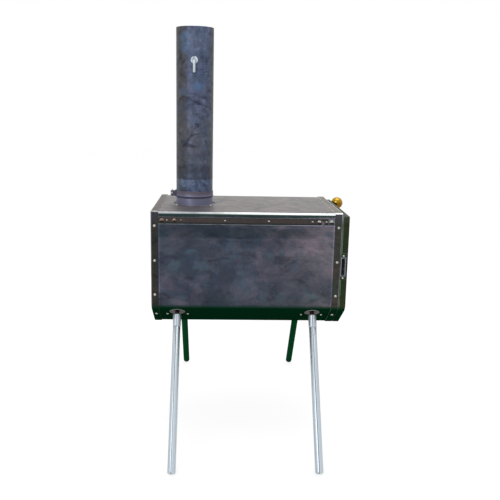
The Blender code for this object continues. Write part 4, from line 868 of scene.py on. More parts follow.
# Zones of the finishes, with the axis, start, full, strength and tint of each
SIDE_ZONES = (
    # low on the side panel, and a painted highlight along the edge of each end cap
    ("Z", PLACE.z - 0.205, PLACE.z - 0.240, 1.0, (0.78, 0.82, 0.80)),
    ("X", REAR_FLANGE + 0.0040, REAR_FLANGE + 0.0020, 0.7, (1.9, 1.9, 2.2)),
    ("X", FRONT_FLANGE - 0.0040, FRONT_FLANGE - 0.0020, 0.7, (1.9, 1.9, 2.2)),
)
CAP_ZONES = (
    # high on the caps, towards the door, the ring in front of the cap, and the level tops
    ("Z", PLACE.z - 0.034, PLACE.z - 0.010, 1.0, (1.45, 1.30, 1.75)),
    ("X", 0.0, 0.15, 1.0, (1.32, 1.36, 1.30)),
    ("X", PLACE.x + LENGTH, PLACE.x + LENGTH + GAP, 1.0, (0.55, 0.74, 0.44)),
    ("Z", PLACE.z - 0.0045, PLACE.z - 0.0010, 1.0, (2.6, 2.6, 1.9)),
)
RAIL_ZONES = (
    # the dark line under the reddish stripe
    ("Z", RAIL_STRIPE - 0.0040, RAIL_STRIPE - 0.0055, 0.75, (0.55, 0.62, 0.70)),
)
PIPE_ZONES = (
    # the dim lower pipe, and the clean zone just over its foot
    ("Z", PLACE.z + 0.125, PLACE.z + 0.092, 1.0, (0.70, 0.74, 0.80)),
    ("Z", PLACE.z + 0.0705, PLACE.z + 0.0685, 1.0, (1.90, 2.10, 2.30)),
)
PIPE_FOOT = (
    # start, full and factors of the pipe's colour for the red line at its foot and the collar under it
    (PLACE.z + 0.0375, PLACE.z + 0.0345, (1.65, 1.30, 1.30)),
    (PLACE.z + 0.0275, PLACE.z + 0.0255, (1.70, 1.55, 1.80)),
)
PIPE_PATCHES = (
    # middle, reach and strength of each blue patch on the flue pipe
    ((-0.203, -0.04, 1.072), (0.020, 0.06, 0.050), 0.62),
    ((-0.163, -0.04, 0.955), (0.020, 0.05, 0.022), 0.50),
    ((-0.205, -0.04, 0.945), (0.016, 0.05, 0.030), 0.35),
    ((-0.150, 0.05, 1.000), (0.030, 0.05, 0.060), 0.50),
)
HEAT_BLOTS = (
    # the same of each teal patch on the side panels
    ((-0.215, -0.17, 0.492), (0.050, 0.60, 0.024), 0.60),
    ((-0.150, -0.17, 0.486), (0.030, 0.60, 0.018), 0.60),
    ((-0.175, -0.17, 0.528), (0.034, 0.60, 0.014), 0.60),
    ((-0.045, -0.17, 0.470), (0.030, 0.60, 0.016), 0.60),
    ((0.035, -0.17, 0.520), (0.022, 0.60, 0.016), 0.60),
)


def begin_material(name):
    material = bpy.data.materials.new(name)
    material.use_nodes = True
    tree = material.node_tree
    return tree, tree.nodes["Principled BSDF"], tree.nodes.new("ShaderNodeTexCoord").outputs["Object"]


def scale_material(name, base):
    """Mill scale finish from its row in SCALE_LOOKS; returns what the finish may build on."""
    blue, pink, stain, blues, pinks, stains, clouds, metallic, wear = SCALE_LOOKS[name]
    tree, shader, place = begin_material(name)
    scale = place_group(tree, "Mill scale", {
        "Vector": place, "Base": base, "Blue": tinted(base, blue), "Pink": tinted(base, pink),
        "Stain": tinted(base, stain), "Blue amount": blues, "Pink amount": pinks,
        "Stain amount": stains, "Cloud scale": clouds})
    edges = place_group(tree, "Edge wear and highlight", {
        "Vector": place, "Color": scale["Color"], "Mask": attribute(tree, "worn"),
        "Bare": BARE_AND_HIGHLIGHT, "Amount": wear})
    feed(tree, shader, {"Base Color": edges["Color"], "Metallic": metallic, "Roughness": scale["Roughness"],
                        "Normal": bumped(tree, scale["Height"], 0.0002)})
    return tree, shader, place, edges["Color"]


def painted_under_shade(tree, shader, tone):
    """Ends a finish with painted shade: a flat greenish black, for shade and the dark ground's reflection, on
    the faces that look down at the ground.
    """
    under = attribute(tree, "under")
    metallic = shader.inputs["Metallic"].default_value
    feed(tree, shader, {"Base Color": mixed(tree, under, tone, UNDERSIDE_PAINTED_SHADE), "Specular IOR Level": 0.0,
                        "Metallic": times(tree, combined(tree, "SUBTRACT", 1.0, under), metallic)})


def finish_heat_blued(colours):
    """Side panel: mottled, streaked under the rail, lighter towards the door, with a painted highlight along
    each end cap and painted shade where it turns under.
    """
    tree, shader, place, tone = scale_material("heat_blued", colours.side)
    warm = times(tree, ramp(tree, place, "X", -0.04, 0.20), ramp(tree, place, "X", 0.236, 0.226))
    tone = shaded(tree, warm, tone, (1.68, 1.48, 1.30))
    soft = noise(tree, stretched(tree, place, (1.0, 1.0, 1.6), (3.0, 1.0, 2.0)), 13.0, 4.0, 0.55, 0.5)
    tone = shaded(tree, ranged(tree, soft, 0.62, 0.40), tone, (0.66, 0.68, 0.72))
    teal = tinted(colours.side, (1.00, 1.35, 1.32))
    tone = blotched(tree, place, tone, teal, noise(tree, place, 38.0, 5.0, 0.6), HEAT_BLOTS)
    rolled = noise(tree, stretched(tree, place, (1.2, 1.2, 62.0)), 1.0, 3.0, 0.5, 0.25)
    streaks = times(tree, ranged(tree, rolled, 0.38, 0.56), 0.85,
                    ramp(tree, place, "Z", PLACE.z - 0.095, PLACE.z - 0.060),
                    ramp(tree, place, "X", 0.19, 0.09))
    tone = shaded(tree, streaks, tone, (0.54, 0.62, 0.58))
    painted_under_shade(tree, shader, zoned(tree, place, tone, SIDE_ZONES))


def finish_cap_scale(colours):
    """End caps, door frame and door fittings: lightest on top, with painted shade, nearly black, underneath.
    """
    tree, shader, place, tone = scale_material("cap_scale", colours.cap)
    painted_under_shade(tree, shader, zoned(tree, place, tone, CAP_ZONES))


def finish_rail_scale(colours):
    """Side rails: a reddish stripe between the rivets, a dark line under it, and a lilac painted highlight on
    the worn lip and crest towards the door.
    """
    tree, shader, place, tone = scale_material("rail_scale", colours.cap)
    stripe = times(tree, ramp(tree, place, "Z", RAIL_STRIPE - 0.0050, RAIL_STRIPE - 0.0035),
                   ramp(tree, place, "Z", RAIL_STRIPE + 0.0050, RAIL_STRIPE + 0.0035), 0.80)
    tone = zoned(tree, place, shaded(tree, stripe, tone, (1.40, 1.00, 1.16)), RAIL_ZONES)
    # lilac painted highlight on worn faces towards the door: the rails' lip and crest, and the strike rims
    lip = times(tree, attribute(tree, "worn"), ramp(tree, place, "X", 0.02, 0.16))
    feed(tree, shader, {"Base Color": mixed(tree, lip, tone, LILAC_PAINTED_HIGHLIGHT)})


def finish_plate_scale(colours):
    """Cooking plate: its bends are worn and carry a painted highlight, strongest towards the door, over
    flanges with a painted dark green reflection.
    """
    tree, shader, place, tone = scale_material("plate_scale", colours.plate)
    # painted highlight on the worn bends, growing towards the door
    bright = times(tree, attribute(tree, "worn"), ramp(tree, place, "X", -0.19, 0.03), 0.90)
    # painted dark green reflection on the plate's down-turned flanges
    flange = ramp(tree, place, "Z", PLACE.z - 0.0058, PLACE.z - 0.0074)
    tone = mixed(tree, flange, mixed(tree, bright, tone, BEND_PAINTED_HIGHLIGHT), FLANGE_PAINTED_REFLECTION)
    feed(tree, shader, {"Base Color": tone})


def finish_pipe_scale(colours):
    """Flue pipe: mottled and streaked, with blue patches, a painted highlight down its middle with painted
    shade at its edges, a clean zone and a red line at its foot.
    """
    tree, shader, place, tone = scale_material("pipe_scale", colours.pipe)
    streaks = noise(tree, stretched(tree, place, (60.0, 60.0, 9.0)), 1.0, 4.0, 0.6)
    mottle = noise(tree, stretched(tree, place, (1.0, 1.0, 0.8), (4.0, 2.0, 1.0)), 62.0, 5.0, 0.62)
    for cloud, start, full, strength, tint in (
            (streaks, 0.42, 0.64, 0.45, (0.60, 0.56, 0.62)), (mottle, 0.50, 0.68, 0.75, (0.62, 0.60, 0.66)),
            (mottle, 0.47, 0.32, 0.80, (1.55, 1.60, 1.75))):
        tone = shaded(tree, ranged(tree, cloud, start, full, 0.0, strength), tone, tint)
    # painted highlight down the middle of the pipe, and painted shade towards its edges
    middle = times(tree, ramp(tree, place, "X", PIPE_AXIS - 0.034, PIPE_AXIS - 0.008),
                   ramp(tree, place, "X", PIPE_AXIS + 0.052, PIPE_AXIS + 0.034))
    tone = shaded(tree, 1.0, tone, mixed(tree, middle, (0.96, 0.94, 0.80), (1.12, 1.17, 1.22)))
    blue = tinted(colours.pipe, (1.05, 1.75, 2.30))
    tone = blotched(tree, place, tone, blue, noise(tree, place, 60.0, 4.0, 0.6), PIPE_PATCHES)
    # the painted highlight is bluer on the upper pipe
    upper = times(tree, middle, ramp(tree, place, "Z", PLACE.z + 0.19, PLACE.z + 0.27))
    tone = zoned(tree, place, shaded(tree, upper, tone, (1.06, 1.18, 1.38)), PIPE_ZONES)
    for start, full, factors in PIPE_FOOT:
        tone = mixed(tree, ramp(tree, place, "Z", start, full), tone, tinted(colours.pipe, factors))
    feed(tree, shader, {"Base Color": tone})


def finish_dark_steel(colours):
    """Washers and bolt necks over the legs: dark brown with a faintly worn rim, which is also a painted
    highlight.
    """
    scale_material("dark_steel", tinted(colours.cap, (0.62, 0.42, 0.40)))


def finish_soot(colours):
    """Inside of the firebox and pipe."""
    tree, shader, place = begin_material("soot")
    soft = noise(tree, place, 30.0, 6.0, 0.7)
    feed(tree, shader, {"Base Color": mixed(tree, ranged(tree, soft, 0.35, 0.65), *SOOT),
                        "Roughness": ranged(tree, soft, 0.3, 0.7, 0.75, 0.95),
                        "Normal": bumped(tree, noise(tree, place, 260.0, 4.0, 0.7), 0.0004)})


def zinc_material(name, colours):
    """Bright plate streaked along the piece's own axis; returns what the finish may build on."""
    tree, shader = begin_material(name)[:2]
    own = attribute(tree, "own_place", "Vector")
    drawn = place_group(tree, "Drawn tube", {
        "Vector": own, "Base": colours.zinc, "Dark": ZINC_STREAKS_AND_REFLECTION, "Amount": 0.90})
    feed(tree, shader, {"Base Color": drawn["Color"], "Roughness": drawn["Roughness"], "Metallic": 0.95})
    return tree, shader, own, drawn


def finish_bright_zinc(colours):
    """Damper handle and its washer."""
    zinc_material("bright_zinc", colours)


def finish_leg_zinc(colours):
    """Legs: bright plate with long streaks, and painted dark green shade and reflection on the side that
    faces inwards.
    """
    tree, shader, own, drawn = zinc_material("leg_zinc", colours)
    # painted shade, matt dark green, on the side of each leg that faces inwards
    outer = ramp(tree, own, "Y", -0.0026, -0.0008)
    feed(tree, shader, {"Base Color": mixed(tree, outer, INNER_PAINTED_SHADE, drawn["Color"]),
                        "Metallic": times(tree, outer, 0.95), "Specular IOR Level": 0.0,
                        "Roughness": mixed(tree, outer, (0.6, 0.6, 0.6), drawn["Roughness"])})


def finish_bronzed(colours):
    """Rail hardware: bronze-brown at the rear end and bright at the door end, with painted shade over the
    lower part of each head.
    """
    tree, shader, place = begin_material("bronzed")
    cloud = ranged(tree, noise(tree, place, 160.0, 5.0, 0.65), 0.38, 0.66)
    tone = mixed(tree, ramp(tree, place, "X", -0.14, -0.08), mixed(tree, cloud, *REAR_BRONZE),
                 mixed(tree, cloud, FRONT_GREY, colours.fastener))
    # painted shade over the lower part of each head
    upper = ramp(tree, attribute(tree, "own_place", "Vector"), "Y", -0.0014, 0.0010)
    feed(tree, shader, {"Base Color": mixed(tree, upper, HEAD_SHADE, tone), "Metallic": 0.85,
                        "Roughness": 0.34})


def finish_polished_brass(colours):
    """Polished ball with faint tarnish and fine scratches, and painted shade that makes it deeper amber
    towards its rod, on its lower part.
    """
    tree, shader, place = begin_material("polished_brass")
    tarnish = ranged(tree, noise(tree, place, 90.0, 5.0, 0.6, 0.8), 0.45, 0.70, 0.0, 0.5)
    tone = mixed(tree, tarnish, colours.brass, tinted(colours.brass, (0.50, 0.42, 0.34)))
    # painted shade over the lower part of the ball
    lower = ramp(tree, attribute(tree, "own_place", "Vector"), "Z", 0.005, -0.011)
    scratches = noise(tree, stretched(tree, place, (900.0, 900.0, 60.0)), 1.0, 3.0)
    feed(tree, shader, {"Base Color": shaded(tree, lower, tone, (0.52, 0.38, 0.30)), "Metallic": 1.0,
                        "Roughness": ranged(tree, scratches, 0.3, 0.7, 0.12, 0.24)})


def seen_directly(tree):
    """1 for camera, glossy and transmission rays."""
    path = tree.nodes.new("ShaderNodeLightPath").outputs
    seen = combined(tree, "MAXIMUM", path["Is Camera Ray"], path["Is Glossy Ray"])
    return combined(tree, "MAXIMUM", seen, path["Is Transmission Ray"])


def finish_pale_floor(colours):
    """Floor that shows pale, and keeps the stove's shadow."""
    tree, shader = begin_material("pale_floor")[:2]
    feed(tree, shader, {"Base Color": colours.floor, "Roughness": 0.9, "Specular IOR Level": 0.0,
                        "Emission Color": (1.0, 1.0, 1.0),
                        "Emission Strength": times(tree, seen_directly(tree), FLOOR_GLOW)})


FINISHES = {
    "heat_blued": finish_heat_blued, "cap_scale": finish_cap_scale, "plate_scale": finish_plate_scale,
    "pipe_scale": finish_pipe_scale, "soot": finish_soot, "bright_zinc": finish_bright_zinc,
    "polished_brass": finish_polished_brass, "dark_steel": finish_dark_steel,
    "rail_scale": finish_rail_scale, "leg_zinc": finish_leg_zinc, "bronzed": finish_bronzed,
    "pale_floor": finish_pale_floor,
}


def finish(name):
    """The named finish, made once. dull_zinc isn't made here: it is the frame's own plain material."""
    if name not in bpy.data.materials:
        FINISHES[name](bpy.context.scene.stove_colours)
    return bpy.data.materials[name]


# Operators

class STOVE_OT_firebox(bpy.types.Operator):
    """Build the bent firebox shell and the cooking plate"""
    bl_idname = "stove.firebox"
    bl_label = "Firebox"

    def execute(self, context):
        self.shell()
        self.cooking_plate()
        return {"FINISHED"}

    def shell(self):
        corners, radii = end_corners(UNDER_CAP, PLATE_TOP - PLATE_BEND)
        radii[0] = radii[-1] = 0.0
        bm = baked(open_sheet(corners, radii, SHELL_BEND_STEPS)[0], SHEET)
        placed("firebox_shell", bm, "stove", "blued_steel", ("heat_blued", "soot"), "body_shell")

    def cooking_plate(self):
        """Plate with a hole for the flue, notched at each end where the end caps' flanges go over it."""
        half = WIDTH / 2
        corners = [(-half, -PLATE_FLANGE), (-half, PLATE_TOP), (half, PLATE_TOP), (half, -PLATE_FLANGE)]
        bm, bends = open_sheet(corners, [0.0, PLATE_BEND, PLATE_BEND, 0.0], PLATE_BEND_STEPS)
        # the bends carry wear and, in the plate's finish, a painted highlight
        mark_wear_and_highlight(bm, bends)
        tools = [drill(FLUE_HOLE, -3 * CUT, CUT, HOLE_SIDES, Matrix.Translation(FLUE))]
        wide = CAP_FLANGE + GAP + CUT
        for side in (-1, 1):
            for x in (wide / 2 - CUT, LENGTH - wide / 2 + CUT):
                tools.append(side_block(side, half - PLATE_NOTCH, half + CUT, x, -CUT, (wide, 4 * CUT)))
        placed("cooking_plate", baked(bm, SHEET, tools), "stove", "plate_steel", ("plate_scale", "soot"),
               "top_plate")


class STOVE_OT_end_caps(bpy.types.Operator):
    """Build both end caps and the rivets in their flanges"""
    bl_idname = "stove.end_caps"
    bl_label = "End caps"

    def execute(self, context):
        sizes = context.scene.stove_sizes
        mouth = rectangle(MOUTH_WIDTH, MOUTH_LOW, MOUTH_HIGH, MOUTH_CORNER)
        self.cap("rear", 0.0, CAP_FLANGE, [])
        self.cap("front", LENGTH, LENGTH - CAP_FLANGE, [prism(*mouth, LENGTH - CUT, LENGTH + CUT)])
        places = self.rivet_places(CAP_FLANGE / 2) + self.rivet_places(LENGTH - CAP_FLANGE / 2)
        rivets("cap_rivets", places, (sizes.rivet_radius, sizes.rivet_rise))
        return {"FINISHED"}

    def cap(self, end, closed_x, open_x, tools):
        """Pan whose rounded top corners are worn and carry a painted highlight, as the cooking plate's bends
        and their highlight run on into them.
        """
        bm = pan(*end_corners(0.0, 0.0), closed_x, open_x)
        for face in bm.faces:
            middle = face.calc_center_median()
            if middle.z > -TOP_CORNER and abs(middle.y) > WIDTH / 2 - TOP_CORNER:
                mark_wear_and_highlight(bm, [face], WEAR_AND_HIGHLIGHT[f"{end} crown"])
        bm = baked(bm, SHEET, tools)
        # the flange's open edge is worn and given a painted highlight
        mark_wear_and_highlight(bm, flat_faces(bm, open_x))
        placed(f"{end}_cap", bm, "stove", "cap_steel", ("cap_scale", "soot"), f"{end}_end_cap")

    def rivet_places(self, x):
        places = []
        for side in (-1, 1):
            places += [((x, side * WIDTH / 2, z), (0, side, 0)) for z in CAP_RIVETS]
            y, z = band_point(CAP_BAND_RIVET, 0.0)
            places.append(((x, side * y, z), band_normal(side)))
        return places


class STOVE_OT_door_frame(bpy.types.Operator):
    """Build the ring round the door, its strike plates, slot cover and fixed hinge leaves"""
    bl_idname = "stove.door_frame"
    bl_label = "Door frame"

    def execute(self, context):
        self.ring(SHEET + FRAME_LIP)
        for label, side in BOTH_SIDES:
            self.strike(label, side, WIDTH / 2 + GAP)
            self.rim(label, side, WIDTH / 2 + GAP + STRIKE_SHEET)
        self.heads(context.scene.stove_sizes)
        for level in ("upper", "lower"):
            smooth_copy(f"frame_hinge_{level}", f"fixed_leaf_{level}", "stove", "cap_steel", "cap_scale")
            fastener_copy(f"hinge_pin_{level}", f"pin_{level}", "stove")
        carry("slot_cover", "soot")
        return {"FINISHED"}

    def ring(self, inset):
        bm = pan(*end_corners(0.0, -FRAME_DROP), FRAME_BACK, FRAME_BACK + FRAME_DEPTH)
        tools = [prism(*end_corners(inset, -FRAME_DROP - inset), FRAME_BACK - CUT, FRAME_BACK + CUT)]
        room = [size + 2 * SLOT_MARGIN for size in SLOT_SIZE]
        low, high = WIDTH / 2 - 2 * CLEAR, WIDTH / 2 + 2 * CLEAR
        tools += [side_block(side, low, high, STRIKE_X, STRIKE_Z, room) for side in (-1, 1)]
        bm = baked(bm, SHEET, tools)
        # the ring's open edge is worn and given a painted highlight
        mark_wear_and_highlight(bm, flat_faces(bm, FRAME_BACK + FRAME_DEPTH))
        placed("front_ring", bm, "stove", "cap_steel", ("cap_scale",) * 2, "front_frame")

    def strike(self, label, side, inner):
        """Plate whose slot is worn where the latch's tongue rubs."""
        outer = inner + STRIKE_SHEET
        plate = side_block(side, inner, outer, STRIKE_X, STRIKE_Z, STRIKE_SIZE, EASED)
        slot = side_block(side, inner - CLEAR, outer + CLEAR, STRIKE_X, STRIKE_Z, SLOT_SIZE)
        bm = baked(plate, 0.0, [slot])
        wide, tall = SLOT_SIZE
        for face in bm.faces:
            away = face.calc_center_median() - Vector((STRIKE_X, 0.0, STRIKE_Z))
            if abs(away.x) < wide / 2 + HAIR and abs(away.z) < tall / 2 + HAIR and abs(face.normal.y) < 0.5:
                mark_wear_and_highlight(bm, [face])
        placed(f"strike_{label}", bm, "stove", "blued_steel", ("cap_scale",) * 2, f"strike_plate_{label}")

    def rim(self, label, side, face):
        """Pressed light rim round the slot."""
        wide, tall = STRIKE_RIM_SIZE
        low, high = face - GAP, face + STRIKE_RIM_RISE
        rim = side_block(side, low, high, STRIKE_X, STRIKE_Z, STRIKE_RIM_SIZE, 0.0002)
        room = SLOT_SIZE[0] + 2 * SLOT_MARGIN
        hole = side_block(side, low - CLEAR, high + CLEAR, STRIKE_X, STRIKE_Z, (room, tall - wide + room))
        bm = baked(rim, 0.0, [hole])
        mark_wear_and_highlight(bm, bm.faces[:], WEAR_AND_HIGHLIGHT["strike rim"])
        placed(f"strike_rim_{label}", bm, "stove", "cap_steel", ("rail_scale",) * 2)

    def heads(self, sizes):
        """Fasteners of the strike plates, then the rivets of the ring."""
        y = WIDTH / 2 + GAP + STRIKE_SHEET
        places = [((STRIKE_X, side * y, STRIKE_Z + step), (0, side, 0))
                  for side in (-1, 1) for step in (-STRIKE_RIVET_STEP, STRIKE_RIVET_STEP)]
        rivets("strike_rivets", places, SMALL_HEADS["strike"])
        across = WIDTH / 2 - SHEET - FRAME_LIP / 2
        top = -(FRAME_DROP + SHEET + FRAME_LIP / 2)
        bottom = -(HEIGHT - SHEET - FRAME_LIP / 2)
        spots = [(side * across * FRAME_TOP_RIVET, top) for side in (-1, 1)]
        spots += [(side * bottom_tangent() * FRAME_BOTTOM_RIVET, bottom) for side in (-1, 1)]
        spots += [(side * across, z) for side in (-1, 1) for z in FRAME_RIVETS]
        places = [((FRAME_BACK + SHEET, y, z), (1, 0, 0)) for y, z in spots]
        rivets("ring_rivets", places, (sizes.rivet_radius, sizes.rivet_rise))


class STOVE_OT_rails(bpy.types.Operator):
    """Build both side rails with their rivets and end screws"""
    bl_idname = "stove.rails"
    bl_label = "Side rails"

    def execute(self, context):
        inner = WIDTH / 2 - UNDER_CAP + GAP
        for label, side in BOTH_SIDES:
            self.rail(label, side, inner, inner + SHEET)
            self.fasteners(label, side, inner + SHEET)
        return {"FINISHED"}

    def rail(self, label, side, inner, outer):
        """Strip with a lip along its lower edge, and a notch in both near the door end."""
        lip = outer + RAIL_LIP
        low, high = -RAIL_TOP - RAIL_HEIGHT, -RAIL_TOP
        outline = ((inner, high, 0.0), (outer, high, 0.0004), (outer, low + SHEET, 0.0),
                   (lip, low + SHEET, 0.0005), (lip, low, 0.0005), (inner, low, 0.0))
        corners = [(side * y, z) for y, z, radius in outline]
        radii = [radius for y, z, radius in outline]
        bm = prism(corners, radii, CAP_FLANGE + GAP, LENGTH - CAP_FLANGE - GAP, RAIL_BEND_STEPS)
        size = (RAIL_NOTCH_WIDTH, RAIL_NOTCH_HEIGHT + CLEAR)
        notch = side_block(side, inner - CLEAR, lip + CLEAR, LENGTH - RAIL_NOTCH_FROM_END,
                           low + (RAIL_NOTCH_HEIGHT - CLEAR) / 2, size)
        bm = baked(bm, 0.0, [notch])
        # the lip and crest are worn, and get the rail finish's painted highlight
        for face in bm.faces:
            middle = face.calc_center_median()
            if abs(middle.y) > outer + HAIR or middle.z > high - RAIL_CREST:
                mark_wear_and_highlight(bm, [face], WEAR_AND_HIGHLIGHT["rail lip"])
        placed(f"rail_{label}", bm, "stove", "cap_steel", ("rail_scale",) * 2, f"side_rail_{label}")

    def fasteners(self, label, side, face):
        """Rivets and end screws, and the small plate behind the outermost screw at the door end."""
        z = -RAIL_TOP - RAIL_RIVET_DROP
        dome = dome_profile(*SMALL_HEADS["rail"])
        heads = [(x, dome) for x in RAIL_RIVETS]
        for from_end, kind in RAIL_SCREWS:
            heads += [(x, RAIL_HEADS.get(kind, dome)) for x in (from_end, LENGTH - from_end)]
        bm = bmesh.new()
        for x, profile in heads:
            add_turned(bm, profile, HEAD_SIDES, frame_at((x, side * face, z), (0, side, 0)))
        placed(f"rail_rivets_{label}", bm, "stove", "dull_zinc", ("bronzed",))
        x = LENGTH - RAIL_SCREWS[0][0]
        bm = side_block(side, face, face + RAIL_TAB_SHEET, x, z, RAIL_TAB_SIZE, 2 * EASED)
        placed(f"rail_tab_{label}", bm, "stove", "cap_steel", ("cap_scale",))


class STOVE_OT_flue(bpy.types.Operator):
    """Build the collar, the flue pipe with its seam, and the clamp round its foot"""
    bl_idname = "stove.flue"
    bl_label = "Flue pipe"

    def execute(self, context):
        sizes = context.scene.stove_sizes
        place = Matrix.Translation(FLUE)
        self.collar(place, sizes)
        self.pipe(place, sizes)
        self.clamp(place, sizes)
        return {"FINISHED"}

    def reach(self, face):
        """Distance of a face from the flue's axis."""
        return (face.calc_center_median() - FLUE).xy.length

    def collar(self, place, sizes):
        """Flange under the plate, rolled shoulder above it and a neck inside the pipe."""
        neck = FLUE_RADIUS - FLUE_WALL - GAP
        flange = PLATE_TOP - SHEET - GAP
        outer = ((COLLAR_FLANGE, flange), (FLUE_RADIUS + 0.0020, flange),
                 (FLUE_RADIUS + 0.0006, flange + 0.0012), (FLUE_RADIUS, flange + 0.003),
                 (FLUE_RADIUS, COLLAR_TOP - 0.0012),
                 (FLUE_RADIUS - 0.0004, COLLAR_TOP - 0.0003), (FLUE_RADIUS - 0.0012, COLLAR_TOP))
        inner = ((neck, COLLAR_TOP), (neck, COLLAR_NECK - 0.003), (neck - 0.0008, COLLAR_NECK),
                 (neck - SHEET, COLLAR_NECK), (neck - SHEET, flange - SHEET), (COLLAR_FLANGE, flange - SHEET))
        bm = turned(outer + inner, PIPE_SIDES, place, closed=True)
        placed("collar", bm, "stove", "pipe_steel", ("pipe_scale",), "flue_collar")
        places = []
        for quarter in range(4):
            angle = math.pi / 4 + quarter * math.pi / 2
            x, y = COLLAR_CIRCLE * math.cos(angle), COLLAR_CIRCLE * math.sin(angle)
            places.append(((FLUE.x + x, FLUE.y + y, PLATE_TOP + GAP), (0, 0, 1)))
        rivets("collar_rivets", places, (sizes.rivet_radius, sizes.rivet_rise))

    def pipe(self, place, sizes):
        """Pipe with a bright top rim, soot inside and a folded seam at the far side."""
        low = COLLAR_TOP + GAP
        bore = FLUE_RADIUS - FLUE_WALL
        profile = ((FLUE_RADIUS - EASED, low), (FLUE_RADIUS, low + EASED), (FLUE_RADIUS, 0.25),
                   (FLUE_RADIUS, FLUE_TOP - EASED), (FLUE_RADIUS - EASED, FLUE_TOP), (bore + EASED, FLUE_TOP),
                   (bore, FLUE_TOP - EASED), (bore, low + EASED), (bore + EASED, low))
        bm = turned(profile, PIPE_SIDES, place, closed=True)
        for face in bm.faces:
            if face.calc_center_median().z > FLUE_TOP - EASED:
                mark_wear_and_highlight(bm, [face], WEAR_AND_HIGHLIGHT["pipe rim"])
            elif self.reach(face) < bore + HAIR:
                face.material_index = 1
        seam = block((-SEAM_HALF, -SEAM_SUNK, SEAM_LOW), (SEAM_HALF, sizes.seam_rise, SEAM_HIGH), EASED)
        turn = Matrix.Rotation(SEAM_TURN - math.pi / 2, 4, "Z") @ Matrix.Translation((0.0, FLUE_RADIUS, 0.0))
        bmesh.ops.transform(seam, matrix=place @ turn, verts=seam.verts)
        join(bm, seam)
        placed("pipe", bm, "flue", "pipe_steel", ("pipe_scale", "soot"), "flue_pipe")

    def clamp(self, place, sizes):
        """Split band with a rolled bead along its lower edge, and ears for the screw."""
        inner = FLUE_RADIUS + GAP
        outer = inner + CLAMP_SHEET
        low, high = CLAMP_LOW, CLAMP_HIGH
        bead = [(outer - EASED, low), (outer, low + EASED)]
        for step in range(1, 8):
            angle = math.pi * step / 8
            bead.append((outer + sizes.bead_rise * math.sin(angle), low + 0.001 + 0.005 * step / 8))
        bead += [(outer, low + CLAMP_BEAD), (outer, high - EASED), (outer - EASED, high)]
        bm = turned(bead + [(inner, high), (inner, low)], PIPE_SIDES, place, closed=True)
        shine = [face for face in bm.faces
                 if face.calc_center_median().z < low + CLAMP_BEAD and self.reach(face) > outer]
        mark_wear_and_highlight(bm, shine, WEAR_AND_HIGHLIGHT["clamp bead"])
        half = CLAMP_EAR_GAP / 2
        for side in (-1, 1):
            y0, y1 = sorted((FLUE.y + side * half, FLUE.y + side * (half + CLAMP_SHEET)))
            start, end = (FLUE.x - outer - CLAMP_EAR, y0, low + GAP), (FLUE.x - inner - GAP, y1, high - GAP)
            join(bm, block(start, end, EASED))
        slit = block((FLUE.x - outer - SHEET, FLUE.y - half, low - CLEAR),
                     (FLUE.x - inner + 2 * SHEET, FLUE.y + half, high + CLEAR))
        screw = (FLUE.x - outer - CLAMP_EAR + CLAMP_SCREW_IN, FLUE.y, (low + high) / 2)
        hole = drill(CLAMP_SCREW_HOLE, -2 * CUT, 2 * CUT, HEAD_SIDES, frame_at(screw, (0, 1, 0)))
        bm = baked(bm, 0.0, [slit, hole])
        placed("foot_clamp", bm, "flue", "cap_steel", ("pipe_scale",) * 2, "clamp_band")
        fastener_copy("clamp_screw", "clamp_bolt", "flue")
        fastener_copy("clamp_wing_nut", "wing_nut", "wing_nut")


class STOVE_OT_damper(bpy.types.Operator):
    """Build the damper plate, its shaft with the hanging handle, and the washer"""
    bl_idname = "stove.damper"
    bl_label = "Damper"

    def execute(self, context):
        self.shaft(FLUE.y - FLUE_RADIUS - DAMPER_OUT)
        self.washer(DAMPER_ROD + GAP)
        smooth_copy("damper_plate", "damper_disc", "damper", "cap_steel", "soot")
        for label in ("near", "far"):
            fastener_copy(f"damper_screw_{label}", f"disc_screw_{label}", "damper")
        return {"FINISHED"}

    def shaft(self, out):
        """Rod through the pipe that bends down, as the handle, at its near end."""
        path = [(FLUE.y + FLUE_RADIUS + DAMPER_FAR_END, DAMPER_HEIGHT), (FLUE.y, DAMPER_HEIGHT)]
        for step in range(13):
            angle = math.pi / 2 * step / 12
            path.append((out + DAMPER_BEND - DAMPER_BEND * math.sin(angle),
                         DAMPER_HEIGHT - DAMPER_BEND + DAMPER_BEND * math.cos(angle)))
        path.append((out, DAMPER_HEIGHT - DAMPER_DROP + DAMPER_ROD))
        rod = swept([Vector((FLUE.x, y, z)) for y, z in path], DAMPER_ROD)
        placed("damper_shaft", rod, "damper", "bright_steel", ("bright_zinc",), "damper_rod")

    def washer(self, bore):
        """Washer against the pipe, raised round its rim and dark in its dish."""
        ring = ((bore, 0.0), (DAMPER_WASHER, 0.0), (DAMPER_WASHER, 0.0008), (0.0090, 0.0014),
                (0.0064, 0.0015), (DAMPER_WASHER_DISH, 0.0012), (0.0056, 0.0004), (bore, 0.0004))
        matrix = frame_at((FLUE.x, FLUE.y - FLUE_RADIUS - GAP, DAMPER_HEIGHT), (0, -1, 0))
        bm = turned(ring, KNOB_SIDES, matrix, closed=True)
        for face in bm.faces:
            if (face.calc_center_median() - matrix.translation).xz.length < DAMPER_WASHER_DISH:
                face.material_index = 1
        placed("shaft_washer", bm, "flue", "bright_steel", ("bright_zinc", "soot"), "damper_washer")


